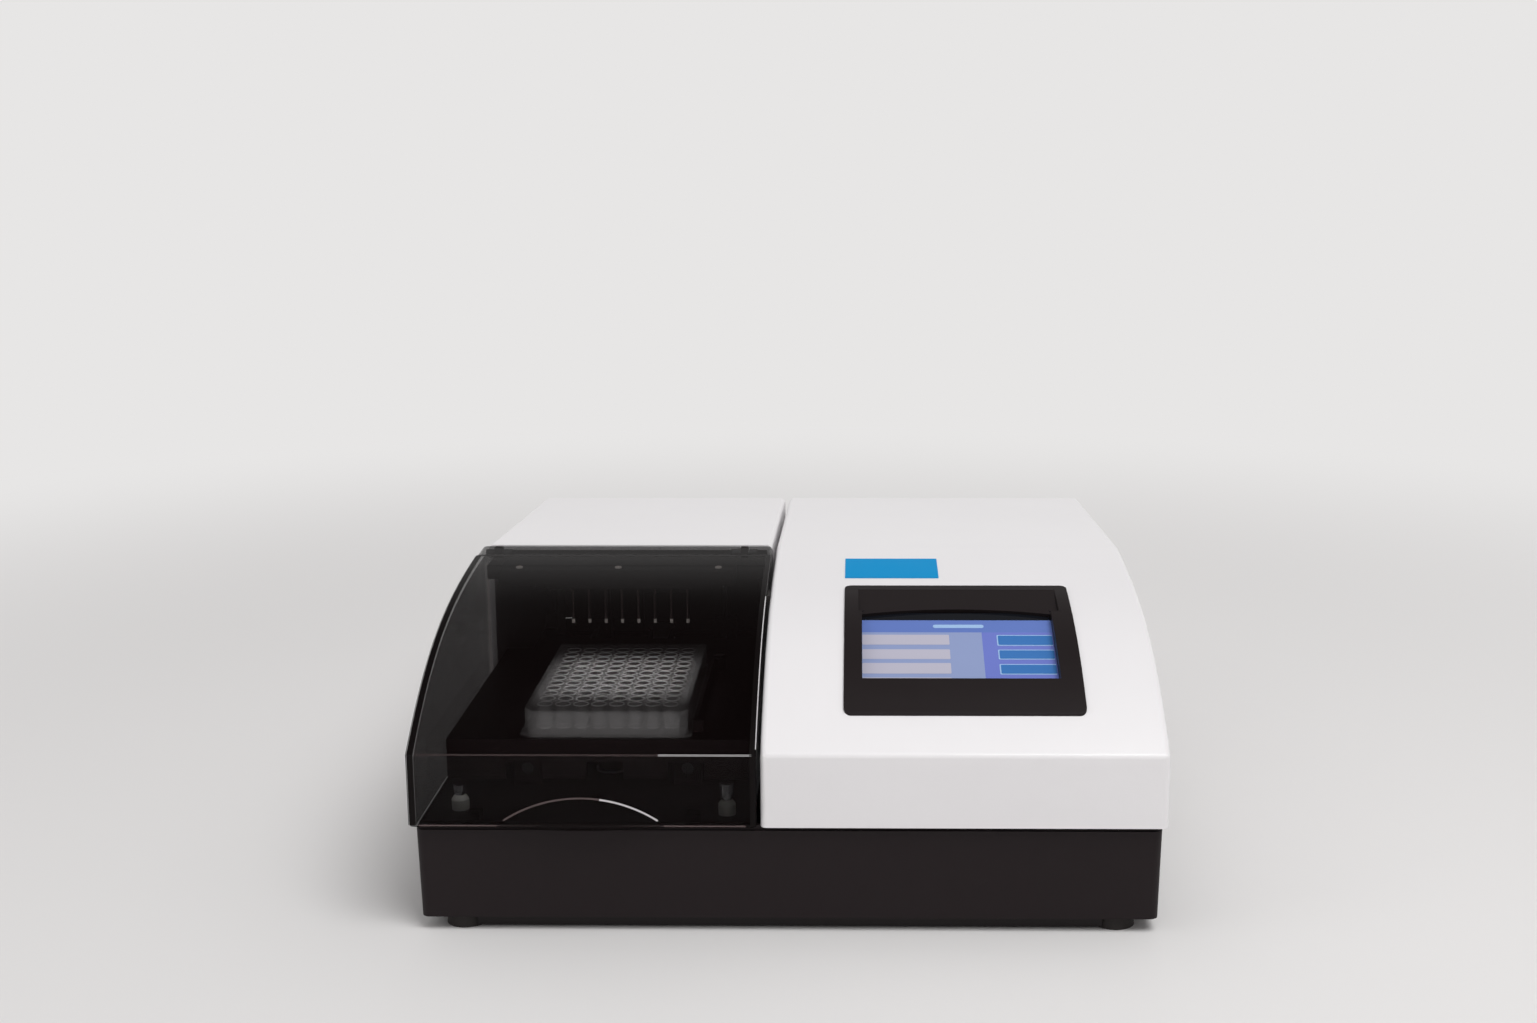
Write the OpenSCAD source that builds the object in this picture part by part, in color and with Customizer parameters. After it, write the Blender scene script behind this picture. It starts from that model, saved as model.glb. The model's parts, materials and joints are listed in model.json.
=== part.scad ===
/* [Overall] */
// Width over the housings
body_w = 356; // [352:1:362]
// Depth of the housings from the front wall to the rear wall
body_d = 390; // [388:1:396]
// Height of the top edge of the upright front wall
nose_z = 89.3; // [87:0.1:91]
// Height of the crest where the arched front meets the roof
crest_z = 146; // [145:0.5:148]
// Distance of the crest behind the front wall
crest_y = 195; // [194:0.5:196]
// How far the roof falls from the crest to its rear edge
roof_drop = 11; // [8:0.5:12]
// Height of the rubber feet
foot_h = 7; // [6:0.5:9]
// Height of the black base tub
base_h = 44; // [42:0.5:45]
// Shadow gap between the tub and the housings
skirt_gap = 2.8; // [2.4:0.1:3.2]

/* [Shells] */
// Wall of the moulded housings
wall = 3; // [2.6:0.1:3.2]
// Radius of the outer edges of the housings
edge_r = 3; // [2:0.5:4]
// Wall of the base tub at its rim
tub_wall = 3.4; // [3:0.2:3.8]
// Floor of the base tub
tub_floor = 2.5; // [2:0.5:3]
// Draft of the tub walls, per side
tub_draft = 0.9; // [0.5:0.1:1.5]
// Set-back of the tub behind the housings, sides and rear
tub_inset = 2.1; // [1.8:0.1:2.4]
// Middle of the seam between the mist cover and the right housing
seam_x = -13.7; // [-14:0.1:-13.4]
// Width of the seam
seam_gap = 1.8; // [1.4:0.1:2.2]
// Outer radius of a screw column
column_r = 5; // [4.5:0.25:5.5]

/* [Mist cover] */
// Wall of the smoked cover
cover_wall = 3; // [2.6:0.1:3.2]
// Radius of the hinge bead along the rear edge of the cover
bead_r = 3.3; // [3:0.1:3.4]
// Radius of the two hinge pins
hinge_pin_r = 1.5; // [1.2:0.1:1.6]
// Middle of the finger lip, from the middle of the wash bay
lip_shift = -0.7; // [-3:0.1:3]
// Radius of the arch of the finger lip
lip_r = 65.2; // [62:0.2:70]
// Height of the arch of the lip above the cover's lower edge
lip_h = 14; // [12:0.5:16]
// How far the lip stands out
lip_proud = 4.5; // [4:0.5:5]

/* [Plate carrier] */
// How far the plate stands to the right of the middle of the wash bay
plate_shift = 4.3; // [3:0.1:5]
// Front edge of the plate
plate_y = 53; // [51:0.5:54]
// Underside of the plate
plate_z = 78.8; // [78:0.2:79.4]
// Height of the plate
plate_h = 14.35; // [14:0.05:14.6]
// Spacing of the wells and of the tubes
pitch = 9; // [9:0.5:9]
// Inner radius of a well
well_r = 3.4; // [3.2:0.1:3.5]
// Thickness of the tray top
tray_t = 4; // [3.5:0.5:4.5]
// Radius of the two slide rails
rail_r = 3; // [2.5:0.5:3]
// Height of the slide rails
rail_z = 62; // [61.5:0.5:62.5]
// Half the distance between the slide rails
rail_dx = 40; // [38:1:42]
// Radius at which the belt runs on its pulleys
belt_r = 6; // [5.5:0.5:6.5]

/* [Manifold] */
// Row of the tubes behind the front wall
tube_y = 166.4; // [165.9:0.1:166.9]
// Share of the way from the plate up to the bar at which the long tubes end
tip_share = 0.4427; // [0.42:0.0001:0.48]
// Depth of the underside of the manifold bar below the crest
bar_drop = 17.5; // [17:0.25:18]
// Height of the manifold bar
bar_h = 7; // [6:0.5:7]
// Width of the manifold bar along the travel of the plate
bar_d = 14; // [12:1:15]
// Outer radius of the suction tubes
suction_r = 0.75; // [0.6:0.05:0.9]
// Outer radius of the dispensing tubes
supply_r = 0.5; // [0.4:0.05:0.6]
// Axis of the lead screw in front of the rear wall
lift_in = 32; // [31:0.5:33]
// Radius of the lead screw
screw_r = 3; // [2.5:0.5:3]

/* [Screen] */
// Left edge of the bezel
bezel_x = 26; // [24:1:28]
// Width of the bezel
bezel_w = 115; // [114:1:117]
// Front edge of the bezel
bezel_y = 19; // [18:0.5:20]
// Depth of the bezel in plan
bezel_d = 104; // [103:1:106]
// How far the bezel stands above the housing
bezel_proud = 1.2; // [0.8:0.2:1.6]
// Width of the bezel at each side of the display window
bezel_rim = 9.75; // [9:0.25:10.5]
// Tilt of the display against the chord of its bezel
tilt_extra = 1.5; // [1:0.1:2]
// Depth of the middle of the display below the arch
screen_sink = 5.38; // [5.2:0.02:5.6]

/* [Rear panel] */
// Share of the height of the rear panel at which the hose fittings stand
barb_share = 0.2833; // [0.26:0.0001:0.32]
// Radius of the smooth neck of a hose fitting
barb_r = 3.5; // [3.2:0.1:3.8]
// How far the fittings stand out behind the housings
barb_proud = 18.5; // [17:0.5:20]
// Radius of the bore of the power socket
jack_r = 2.8; // [2.7:0.1:3]

/* [Hidden] */
$fn = 48;

// Gap between pieces that only lie beside each other
rest_gap = 0.3;
// Radial clearance of a shaft in its bearing
run_gap = 0.05;
half_w = body_w / 2;
base_top = foot_h + base_h;
shell_z = base_top + skirt_gap;
middle_y = (body_d + barb_proud - lip_proud) / 2;
floor_z = foot_h + tub_floor;
rear_z = crest_z - roof_drop;
lift_y = body_d - lift_in;
cover_x0 = -half_w;
cover_x1 = seam_x - seam_gap / 2;
bay_x = (cover_x0 + cover_x1) / 2;
plate_x = bay_x + plate_shift;
lip_x = bay_x + lip_shift;
bar_z = crest_z - bar_drop;
tip_z = plate_z + plate_h + (bar_z - plate_z - plate_h) * tip_share;
pump_in = 142;
pump_y0 = body_d - pump_in;
roof_slope = atan(roof_drop / (body_d - crest_y));

// The arched front is one cubic curve between the nose and the crest
nose = [0, nose_z];
crest = [crest_y, crest_z];
corner = [0.34 * crest_y, nose_z + 0.876 * (crest_z - nose_z)];
pull = 0.78;
arch_steps = 22;

function mix(a, b, t) = a + (b - a) * t;
function arch(t) =
    let (a = mix(nose, corner, pull), b = mix(crest, corner, pull))
    pow(1 - t, 3) * nose + 3 * t * pow(1 - t, 2) * a + 3 * t * t * (1 - t) * b + pow(t, 3) * crest;
function arch_run(t) =
    let (a = mix(nose, corner, pull), b = mix(crest, corner, pull))
    pow(1 - t, 2) * (a - nose) + 2 * t * (1 - t) * (b - a) + t * t * (crest - b);
function arch_in(t, d) =
    let (p = arch(t), v = arch_run(t) / norm(arch_run(t)))
    [max(d, p[0] + d * v[1]), p[1] - d * v[0]];
function arch_line(d) = [for (k = [0:arch_steps]) arch_in(k / arch_steps, d)];
// Height of the arch at a depth y
function arch_z(y) = lookup(y, arch_line(0));
// Height of the roof, a distance d inside its outer face
function roof(y, d) = crest_z - (y - crest_y) * tan(roof_slope) - d / cos(roof_slope);

// Rounded corner at the rear top of a profile
function quarter(y, z, r) = [for (a = [90:-30:0]) [y - r + r * cos(a), z - r + r * sin(a)]];

// Plan and profile helpers
module plan(w, d, r) {
    square([w - 2 * r, d], center = true);
    square([w, d - 2 * r], center = true);
    for (x = [-1, 1], y = [-1, 1]) translate([x * (w / 2 - r), y * (d / 2 - r)]) circle(r);
}
module along_x(x0, x1) {
    translate([x0, 0, 0]) rotate([90, 0, 90]) linear_extrude(x1 - x0) children();
}
module rod_x(x0, x1, y, z, r) {
    translate([x0, y, z]) rotate([0, 90, 0]) cylinder(h = x1 - x0, r = r);
}
module rod_y(x, y0, y1, z, r) {
    translate([x, y0, z]) rotate([-90, 0, 0]) cylinder(h = y1 - y0, r = r);
}
module rod_z(x, y, z0, z1, r) {
    translate([x, y, z0]) cylinder(h = z1 - z0, r = r);
}
module box(a, b) {
    translate(a) cube(b - a);
}
// Moves the pieces from the front wall's frame to the middle of the base
module placed() {
    translate([0, -middle_y, 0]) children();
}

// Profiles of the shells, seen from the right
module housing_profile(d, z0) {
    polygon(concat([[d, z0]], arch_line(d),
        [[body_d - d, roof(body_d - d, d)], [body_d - d, z0]]));
}
module rear_profile(d, z0) {
    polygon([[rear_y, z0], [rear_y, roof(rear_y, d)],
        [body_d - d, roof(body_d - d, d)], [body_d - d, z0]]);
}
module cover_profile(d, z0) {
    polygon(concat([[d, z0]],
        [for (p = arch_line(d)) if (p[0] < hinge_y) p],
        quarter(cover_rear - d, crest_z - d, max(bead_r - d, 0.6)),
        [[cover_rear - d, z0]]));
}

// Solid between two upright sides with rounded edges, from a profile that reads $inset
edge_steps = 3;
slice = 0.01;
module rounded_body(x0, x1) {
    hull() for (k = [0:edge_steps]) {
        dx = edge_r * (1 - cos(90 * k / edge_steps));
        $inset = edge_r * (1 - sin(90 * k / edge_steps));
        along_x(x0 + dx, x1 - dx) children();
    }
}

// Base
tub_w = body_w - 2 * tub_inset;
tub_front = 3.8;
tub_rear = body_d - 2;
tub_d = tub_rear - tub_front;
tub_y = (tub_front + tub_rear) / 2;
lip_in = 1.2;
lip_t = 2.3;
partition_x = seam_x - 1;
partition_t = 2.5;
fix_x = half_w - 11;
fix_y = body_d - 30;
rear_fix_y = body_d - 25;
housing_fixes = [[fix_x, 30], [fix_x, crest_y + 5], [fix_x, fix_y], [seam_x + 10, 30],
    [seam_x + 10, fix_y]];
rear_fixes = [[-half_w + 12, crest_y + 35], [-half_w + 12, rear_fix_y], [seam_x - 10.5, rear_fix_y]];
knobs = [[-half_w + 19.5, 25], [seam_x - 15.9, 19]];
head_z = base_top - 5;
head_h = 2.2;
shank_r = 1.5;
screw_top = shell_z + 8;
line_y = lift_y - 10.4;
line_z = 30;
valve_y0 = pump_y0 - 23;
supply_y = valve_y0 + 10;
hose_r = 3;
waste_r = 3.5;

module base_tub() {
    color([0.12, 0.1, 0.11]) placed() difference() {
        union() {
            difference() {
                hull() {
                    translate([0, tub_y, foot_h]) linear_extrude(slice)
                        plan(tub_w - 2 * tub_draft, tub_d - 2 * tub_draft, 4);
                    translate([0, tub_y, base_top - slice]) linear_extrude(slice)
                        plan(tub_w, tub_d, 4);
                }
                translate([0, tub_y, floor_z]) linear_extrude(base_h)
                    plan(tub_w - 2 * tub_wall, tub_d - 2 * tub_wall, 2);
            }
            locating_lip();
            box([partition_x - partition_t, tub_front + 1, floor_z],
                [partition_x, tub_rear - 1, base_top]);
            for (p = housing_fixes) rod_z(p[0], p[1], floor_z, shell_z, column_r);
            for (p = concat(rear_fixes, knobs)) rod_z(p[0], p[1], floor_z, base_top, column_r);
        }
        for (p = concat(housing_fixes, rear_fixes)) {
            rod_z(p[0], p[1], 0, head_z, 3);
            rod_z(p[0], p[1], 0, screw_top + 10, shank_r + 0.2);
        }
        for (p = knobs) rod_z(p[0], p[1], floor_z + 20, base_top + 1, shank_r + 0.1);
        for (y = [supply_y, line_y])
            rod_x(partition_x - 10, partition_x + 10, y, line_z, waste_r + rest_gap);
    }
}
module locating_lip() {
    module ring(h) {
        translate([0, tub_y, base_top - 1]) linear_extrude(h + 1) difference() {
            plan(tub_w - 2 * lip_in, tub_d - 2 * lip_in, 3);
            plan(tub_w - 2 * lip_in - 2 * lip_t, tub_d - 2 * lip_in - 2 * lip_t, 1);
        }
    }
    ring(skirt_gap - 0.4);
    difference() {
        intersection() {
            ring(skirt_gap + 3.2);
            box([seam_x + 6, 0, 0], [half_w, body_d, crest_z]);
        }
        for (p = housing_fixes)
            box([p[0], p[1] - 6.3, shell_z - 0.4], [half_w, p[1] + 6.3, crest_z]);
    }
}
module base_plinth() {
    color([0.06, 0.05, 0.05]) placed() difference() {
        translate([0, tub_y, 1]) linear_extrude(foot_h - 1)
            plan(tub_w - 2 * plinth_inset, tub_d - 12, 3);
        translate([0, tub_y, 0]) linear_extrude(foot_h - 1.5)
            plan(tub_w - 2 * plinth_inset - 4, tub_d - 16, 2);
        for (p = feet) rod_z(p[0], p[1], 0, foot_h + 1, foot_r + rest_gap);
    }
}
plinth_inset = 15.5;
foot_r = 10;
feet = [for (x = [-1, 1], y = [0, 1]) [x * (half_w - 22.5), y == 0 ? 18 : tub_rear - 16]];
module rubber_feet() {
    color([0.13, 0.1, 0.1]) placed() for (p = feet) translate([p[0], p[1], 0]) {
        difference() {
            cylinder(h = foot_h, r1 = foot_r, r2 = foot_r - 1);
            translate([0, 0, -1]) cylinder(h = 4, r = 3.5);
        }
    }
}

// Wet deck under the plate carrier
deck_x0 = -tub_w / 2 + lip_in + lip_t + rest_gap;
deck_x1 = partition_x;
module deck() {
    color([0.1, 0.09, 0.09]) placed() difference() {
        box([deck_x0, tub_front + lip_in + lip_t + rest_gap, base_top],
            [deck_x1, tub_rear - lip_in - lip_t - rest_gap, shell_z]);
        for (p = rear_fixes) rod_z(p[0], p[1], 0, crest_z, shank_r + 0.2);
        for (p = knobs) rod_z(p[0], p[1], 0, crest_z, shank_r + 0.1);
        rod_z(plate_x, drive_y, 0, crest_z, 5);
        for (x = riser_x) rod_z(x, line_y, 0, crest_z, waste_r);
    }
}

// Right housing with the screen
box_x0 = seam_x + seam_gap / 2;
module lug(p, dx) {
    x = p[0] + dx;
    box([min(p[0], x) - 5, p[1] - 6, shell_z], [max(p[0], x) + 5, p[1] + 6, screw_top + 1]);
}
module right_housing() {
    color([0.94, 0.93, 0.94]) placed() difference() {
        union() {
            difference() {
                rounded_body(box_x0, half_w) housing_profile($inset, shell_z);
                along_x(box_x0 + wall, half_w - wall) housing_profile(wall, shell_z - 1);
            }
            for (p = housing_fixes)
                lug(p, p[0] > 0 ? half_w - wall - p[0] - 4.9 : box_x0 + wall - p[0] + 4.9);
        }
        for (p = housing_fixes) rod_z(p[0], p[1], 0, screw_top, shank_r);
        translate([bezel_x + bezel_w / 2, bezel_y + bezel_d / 2, shell_z + 5])
            linear_extrude(crest_z) plan(bezel_w - 2 * flange, bezel_d - 2 * flange, 3);
        box([panel_x0 + panel_rim, body_d - wall - 1, panel_z0 + panel_rim],
            [panel_x1 - panel_rim, body_d + 1, panel_z1 - panel_rim]);
    }
}
module seam_buffer() {
    z = crest_z - 12;
    color([0.08, 0.08, 0.08]) placed()
        box([box_x0 - seam_gap + rest_gap, 112, z], [box_x0, 125, z + 3.4]);
}

// Rear cover of the wash bay
rear_y = crest_y + 1.5;
rear_x0 = -half_w + 2.8;
rear_x1 = seam_x - 1.5;
module rear_cover() {
    color([0.93, 0.92, 0.93]) placed() difference() {
        union() {
            difference() {
                rounded_body(rear_x0, rear_x1) rear_profile($inset, shell_z);
                along_x(rear_x0 + wall, rear_x1 - wall)
                    polygon([[rear_y - 1, shell_z - 1], [rear_y - 1, roof(rear_y - 1, wall)],
                        [body_d - wall, roof(body_d - wall, wall)], [body_d - wall, shell_z - 1]]);
            }
            for (p = rear_fixes)
                lug(p, p[0] < plate_x ? rear_x0 + wall - p[0] + 4.9 : rear_x1 - wall - p[0] - 4.9);
        }
        for (p = rear_fixes) rod_z(p[0], p[1], 0, screw_top, shank_r);
    }
}
module housing_screws() {
    color([0.75, 0.75, 0.77]) placed() for (p = concat(housing_fixes, rear_fixes)) {
        rod_z(p[0], p[1], head_z - head_h, head_z, 2.8);
        rod_z(p[0], p[1], head_z, screw_top, shank_r);
    }
}

// Header over the manifold and the hinge beside it
cover_rear = crest_y + 0.8;
hinge_y = cover_rear - bead_r;
hinge_z = crest_z - bead_r;
header_front = tube_y - 6.2;
header_z = bar_z + 2.5;
header_top = hinge_z - bead_r - 0.8;
bar_w = (cover_x1 - cover_x0) * 0.5508;
arm_x0 = plate_x - bar_w / 2 - 6;
arm_x1 = plate_x + bar_w / 2 + 6;
bay_x0 = cover_x0 + cover_wall;
bay_x1 = cover_x1 - cover_wall;
header_x0 = mix(bay_x0, arm_x0, 0.375);
header_x1 = mix(bay_x1, arm_x1, 0.722);
header_t = 2.2;
header_r = header_top - header_z - 0.6;
header_end = rear_y + 12;
function header_arc(d) = [for (a = [180:-15:90])
    [header_front + header_r + (header_r - d) * cos(a), header_top - header_r + (header_r - d) * sin(a)]];
module header_panel() {
    y1 = rear_y + 0.5;
    color([0.1, 0.09, 0.09]) placed() difference() {
        along_x(header_x0, header_x1) polygon(concat([[header_front, header_z]], header_arc(0),
            [[y1, header_top], [y1, roof(y1, wall)], [header_end, roof(header_end, wall)],
            [header_end, header_z]]));
        along_x(header_x0 + header_t, header_x1 - header_t)
            polygon(concat([[header_front + header_t, header_z - 1]], header_arc(header_t),
            [[header_end + 1, header_top - header_t], [header_end + 1, header_z - 1]]));
        for (x = header_screw_x) rod_z(x, header_screw_y, header_top - 5, header_top + 1, 1);
    }
}
header_screw_x = [header_x0 + 9.8, (header_x0 + header_x1) / 2, header_x1 - 9.2];
header_screw_y = header_front + header_r + 4;
module header_screws() {
    color([0.7, 0.7, 0.72]) placed() for (x = header_screw_x) {
        rod_z(x, header_screw_y, header_top, header_top + 0.9, 1.9);
        rod_z(x, header_screw_y, header_top - header_t - 0.4, header_top, 1);
    }
}
bracket_w = header_x0 - 0.6 - rear_x0 - wall;
lugs = [header_x0 - 0.6 - bracket_w / 2, header_x1 + 0.6 + bracket_w * 0.4];
lug_t = bracket_w * 0.49;
module hinge_brackets() {
    color([0.1, 0.1, 0.1]) placed() for (k = [0, 1]) {
        x0 = k == 0 ? rear_x0 + wall : header_x1 + 0.6;
        x1 = k == 0 ? header_x0 - 0.6 : rear_x1 - wall;
        difference() {
            union() {
                along_x(x0, x1) polygon([[rear_y - 20, header_top], [rear_y - 20, header_top - 3],
                    [header_end, header_top - 3], [header_end, roof(header_end, wall)],
                    [rear_y + 0.5, roof(rear_y + 0.5, wall)], [rear_y + 0.5, header_top]]);
                box([x0, rear_y - 20, header_z], [x1, rear_y - 17.5, header_top - 1]);
                rod_x(lugs[k] - lug_t / 2, lugs[k] + lug_t / 2, hinge_y, hinge_z, bead_r);
                box([lugs[k] - lug_t / 2, hinge_y - bead_r, header_top - 1],
                    [lugs[k] + lug_t / 2, hinge_y + bead_r, hinge_z]);
            }
            rod_x(x0 - 20, x1 + 20, hinge_y, hinge_z, hinge_pin_r);
        }
    }
}
module hinge_pins() {
    color([0.8, 0.8, 0.82]) placed() for (x = lugs)
        rod_x(x - lug_t / 2 - 5, x + lug_t / 2 + 4.6, hinge_y, hinge_z, hinge_pin_r);
}

// Smoked mist cover, hinged at its rear edge
lip_z = shell_z + lip_h - lip_r;
stop_in = 27;
stop_w = 6;
module lip_cone(y) {
    fall = (lip_r - (shell_z - lip_z)) / lip_proud;
    translate([lip_x, y, lip_z]) rotate([90, 0, 0])
        cylinder(h = lip_proud + cover_wall, r1 = lip_r + fall * cover_wall,
            r2 = shell_z - lip_z, $fn = 128);
}
module mist_cover() {
    color([0.25, 0.2, 0.2, 0.5]) placed() difference() {
        union() {
            difference() {
                rounded_body(cover_x0, cover_x1) cover_profile($inset, shell_z);
                along_x(cover_x0 + cover_wall, cover_x1 - cover_wall) difference() {
                    polygon(concat([[cover_wall, shell_z - 1]],
                        [for (p = arch_line(cover_wall)) if (p[0] < crest_y - 1) p],
                        [[body_d, crest_z - cover_wall], [body_d, shell_z - 1]]));
                    translate([hinge_y, hinge_z]) circle(bead_r);
                }
            }
            intersection() {
                lip_cone(cover_wall);
                box([lip_x - lip_r, -lip_proud - 1, shell_z], [lip_x + lip_r, cover_wall, nose_z - 4]);
            }
            for (x = [cover_x0 + stop_in, cover_x1 - stop_in - stop_w])
                box([x, cover_wall - 1, shell_z + rest_gap],
                    [x + stop_w, cover_wall + 9, shell_z + 5]);
        }
        intersection() {
            lip_cone(2 * cover_wall);
            box([lip_x - lip_r, -lip_proud, 0], [lip_x + lip_r, cover_wall + 0.01, nose_z - 4]);
        }
        for (x = lugs) {
            rod_x(x - lug_t / 2 - 0.4, x + lug_t / 2 + 0.4, hinge_y, hinge_z, bead_r + 0.8);
            box([x - lug_t / 2 - 0.4, hinge_y, hinge_z - 5],
                [x + lug_t / 2 + 0.4, cover_rear + 1, crest_z + 1]);
            rod_x(x - lug_t / 2 - 5.4, x + lug_t / 2 + 5, hinge_y, hinge_z, hinge_pin_r + 0.1);
        }
    }
}

// Lift: frame, rods, motor, screw and carriage
frame_half = (rear_x1 - rear_x0) / 2 - wall - 17;
post_w = 10;
post_x = [-frame_half, frame_half - post_w];
post_d = 20;
frame_y0 = lift_y - 6;
frame_top = roof(lift_y + 15, wall) - 3;
cross_z = frame_top - 3.5;
rod_dx = frame_half - 22;
motor_side = 28;
motor_h = 25;
motor_z = shell_z + 2.8;
carriage_z0 = bar_z - 18.5;
carriage_h = 14;
module z_frame() {
    color([0.14, 0.13, 0.13]) placed() difference() {
        union() {
            for (x = post_x)
                box([plate_x + x, frame_y0, shell_z],
                    [plate_x + x + post_w, frame_y0 + post_d, frame_top]);
            box([plate_x - frame_half, frame_y0 + post_d, shell_z],
                [plate_x + frame_half, frame_y0 + post_d + 2.5, frame_top]);
            box([plate_x - frame_half, lift_y - 15, shell_z],
                [plate_x + frame_half, frame_y0 + post_d, motor_z]);
            box([plate_x - frame_half, frame_y0, cross_z],
                [plate_x + frame_half, frame_y0 + post_d, frame_top]);
        }
        for (s = [-1, 1]) rod_z(plate_x + s * rod_dx, lift_y, shell_z - 1, frame_top + 1, rail_r);
        rod_z(plate_x, lift_y, cross_z - 1, frame_top + 1, screw_r + run_gap);
    }
}
module z_guide_rods() {
    color([0.8, 0.8, 0.82]) placed() for (s = [-1, 1])
        rod_z(plate_x + s * rod_dx, lift_y, shell_z, frame_top, rail_r);
}
module z_motor() {
    half = motor_side / 2;
    color([0.2, 0.2, 0.21]) placed() difference() {
        translate([plate_x, lift_y, motor_z]) linear_extrude(motor_h) plan(motor_side, motor_side, 3);
        rod_z(plate_x, lift_y, motor_z + motor_h - 6, motor_z + motor_h + 1, screw_r + run_gap);
    }
}
module lead_screw() {
    color([0.7, 0.7, 0.72]) placed()
        rod_z(plate_x, lift_y, motor_z + motor_h - 5.5, frame_top - 0.5, screw_r);
}
beam_y = lift_y - 13.4;
module z_carriage() {
    color([0.7, 0.7, 0.7]) placed() difference() {
        union() {
            box([plate_x - rod_dx - 9, beam_y + 6, carriage_z0],
                [plate_x + rod_dx + 9, lift_y + 8, carriage_z0 + carriage_h]);
            box([arm_x0, beam_y, carriage_z0], [arm_x1, beam_y + 6, arm_z + arm_h]);
        }
        for (s = [-1, 1])
            rod_z(plate_x + s * rod_dx, lift_y, 0, crest_z, rail_r + 2);
        rod_z(plate_x, lift_y, 0, crest_z, screw_r + 3);
    }
}
module z_bushings() {
    color([0.75, 0.6, 0.3]) placed() for (s = [-1, 1]) difference() {
        rod_z(plate_x + s * rod_dx, lift_y, carriage_z0, carriage_z0 + carriage_h, rail_r + 2);
        rod_z(plate_x + s * rod_dx, lift_y, 0, crest_z, rail_r + run_gap);
    }
}
module lift_nut() {
    color([0.9, 0.88, 0.8]) placed() difference() {
        rod_z(plate_x, lift_y, carriage_z0, carriage_z0 + carriage_h, screw_r + 3);
        rod_z(plate_x, lift_y, 0, crest_z, screw_r + run_gap);
    }
}

// Manifold
wells_x = 8;
wells_y = 12;
arm_w = 4;
arm_h = 4;
arm_z = bar_z + 0.5;
bar_y0 = tube_y - 3;
module manifold_arms() {
    color([0.2, 0.2, 0.2]) placed() {
        for (x = [arm_x0, arm_x1 - arm_w])
            box([x, bar_y0, arm_z], [x + arm_w, beam_y, arm_z + arm_h]);
        box([arm_x0 + arm_w, bar_y0 + 2, arm_z],
            [plate_x - bar_w / 2, bar_y0 + bar_d - 2, arm_z + arm_h]);
        box([plate_x + bar_w / 2, bar_y0 + 2, arm_z],
            [arm_x1 - arm_w, bar_y0 + bar_d - 2, arm_z + arm_h]);
    }
}
module tubes_at(y, z, r, bore) {
    for (k = [0:wells_x - 1]) translate([plate_x + (k - (wells_x - 1) / 2) * pitch, y, z]) difference() {
        cylinder(h = bar_z + 2 - z, r = r, $fn = 24);
        translate([0, 0, -1]) cylinder(h = bar_z + 4 - z, r = bore, $fn = 24);
    }
}
module manifold_bar() {
    chamfer = 3;
    color([0.75, 0.75, 0.76]) placed() difference() {
        along_x(plate_x - bar_w / 2, plate_x + bar_w / 2) polygon([[bar_y0, bar_z],
            [bar_y0, bar_z + bar_h - chamfer], [bar_y0 + chamfer, bar_z + bar_h],
            [bar_y0 + bar_d, bar_z + bar_h], [bar_y0 + bar_d, bar_z]]);
        for (k = [0:wells_x - 1]) {
            x = plate_x + (k - (wells_x - 1) / 2) * pitch;
            rod_z(x, tube_y, bar_z - 1, bar_z + 2, suction_r);
            rod_z(x, supply_row, bar_z - 1, bar_z + 2, supply_r);
        }
        rod_x(plate_x - bar_w / 2 - 1, plate_x + bar_w / 2 - 4, bar_y0 + 3.5, bar_z + 4.5, 1.4);
        rod_x(plate_x - bar_w / 2 + 4, plate_x + bar_w / 2 + 1, bar_y0 + 10, bar_z + 4.5, 1.4);
    }
}
supply_row = tube_y + 2.2;
module suction_tubes() {
    color([0.85, 0.85, 0.87]) placed() tubes_at(tube_y, tip_z, suction_r, suction_r - 0.25);
}
module supply_tubes() {
    color([0.85, 0.85, 0.87]) placed() tubes_at(supply_row, tip_z + 5, supply_r, supply_r - 0.15);
}

// Tubes with square turns, rounded at each corner
function unit(v) = v / norm(v);
module run(a, b, r) {
    d = unit(b - a);
    u = [d[1], d[2], d[0]];
    v = cross(d, u);
    multmatrix([for (k = [0:2]) [u[k], v[k], d[k], a[k]]])
        cylinder(h = norm(b - a), r = r, $fn = 24);
}
module bend(p, d, e, radius, r) {
    c = p - radius * d + radius * e;
    n = cross(d, e);
    multmatrix([for (k = [0:2]) [-e[k], d[k], n[k], c[k]]])
        rotate_extrude(angle = 90, $fn = 48) translate([radius, 0]) circle(r, $fn = 24);
}
module hose(points, r, radius) {
    last = len(points) - 1;
    for (k = [0:last - 1]) {
        d = unit(points[k + 1] - points[k]);
        run(points[k] + (k > 0 ? radius : 0) * d, points[k + 1] - (k < last - 1 ? radius : 0) * d, r);
    }
    for (k = [1:last - 1])
        bend(points[k], unit(points[k] - points[k - 1]), unit(points[k + 1] - points[k]), radius, r);
}
riser_x = [mix(rear_x0 + wall, arm_x0, 0.418), mix(rear_x1 - wall, arm_x1, 0.342)];
riser_z = shell_z + 4;
riser_bend = 6;
tub_bend = 8;
module manifold_hoses() {
    z = carriage_z0 + 8;
    color([0.85, 0.85, 0.86, 0.6]) placed() {
        hose([[riser_x[0], line_y, riser_z], [riser_x[0], line_y, z], [arm_x0, line_y, z]],
            hose_r, riser_bend);
        hose([[riser_x[1], line_y, riser_z], [riser_x[1], line_y, z], [arm_x1, line_y, z]],
            hose_r, riser_bend);
    }
}

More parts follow.
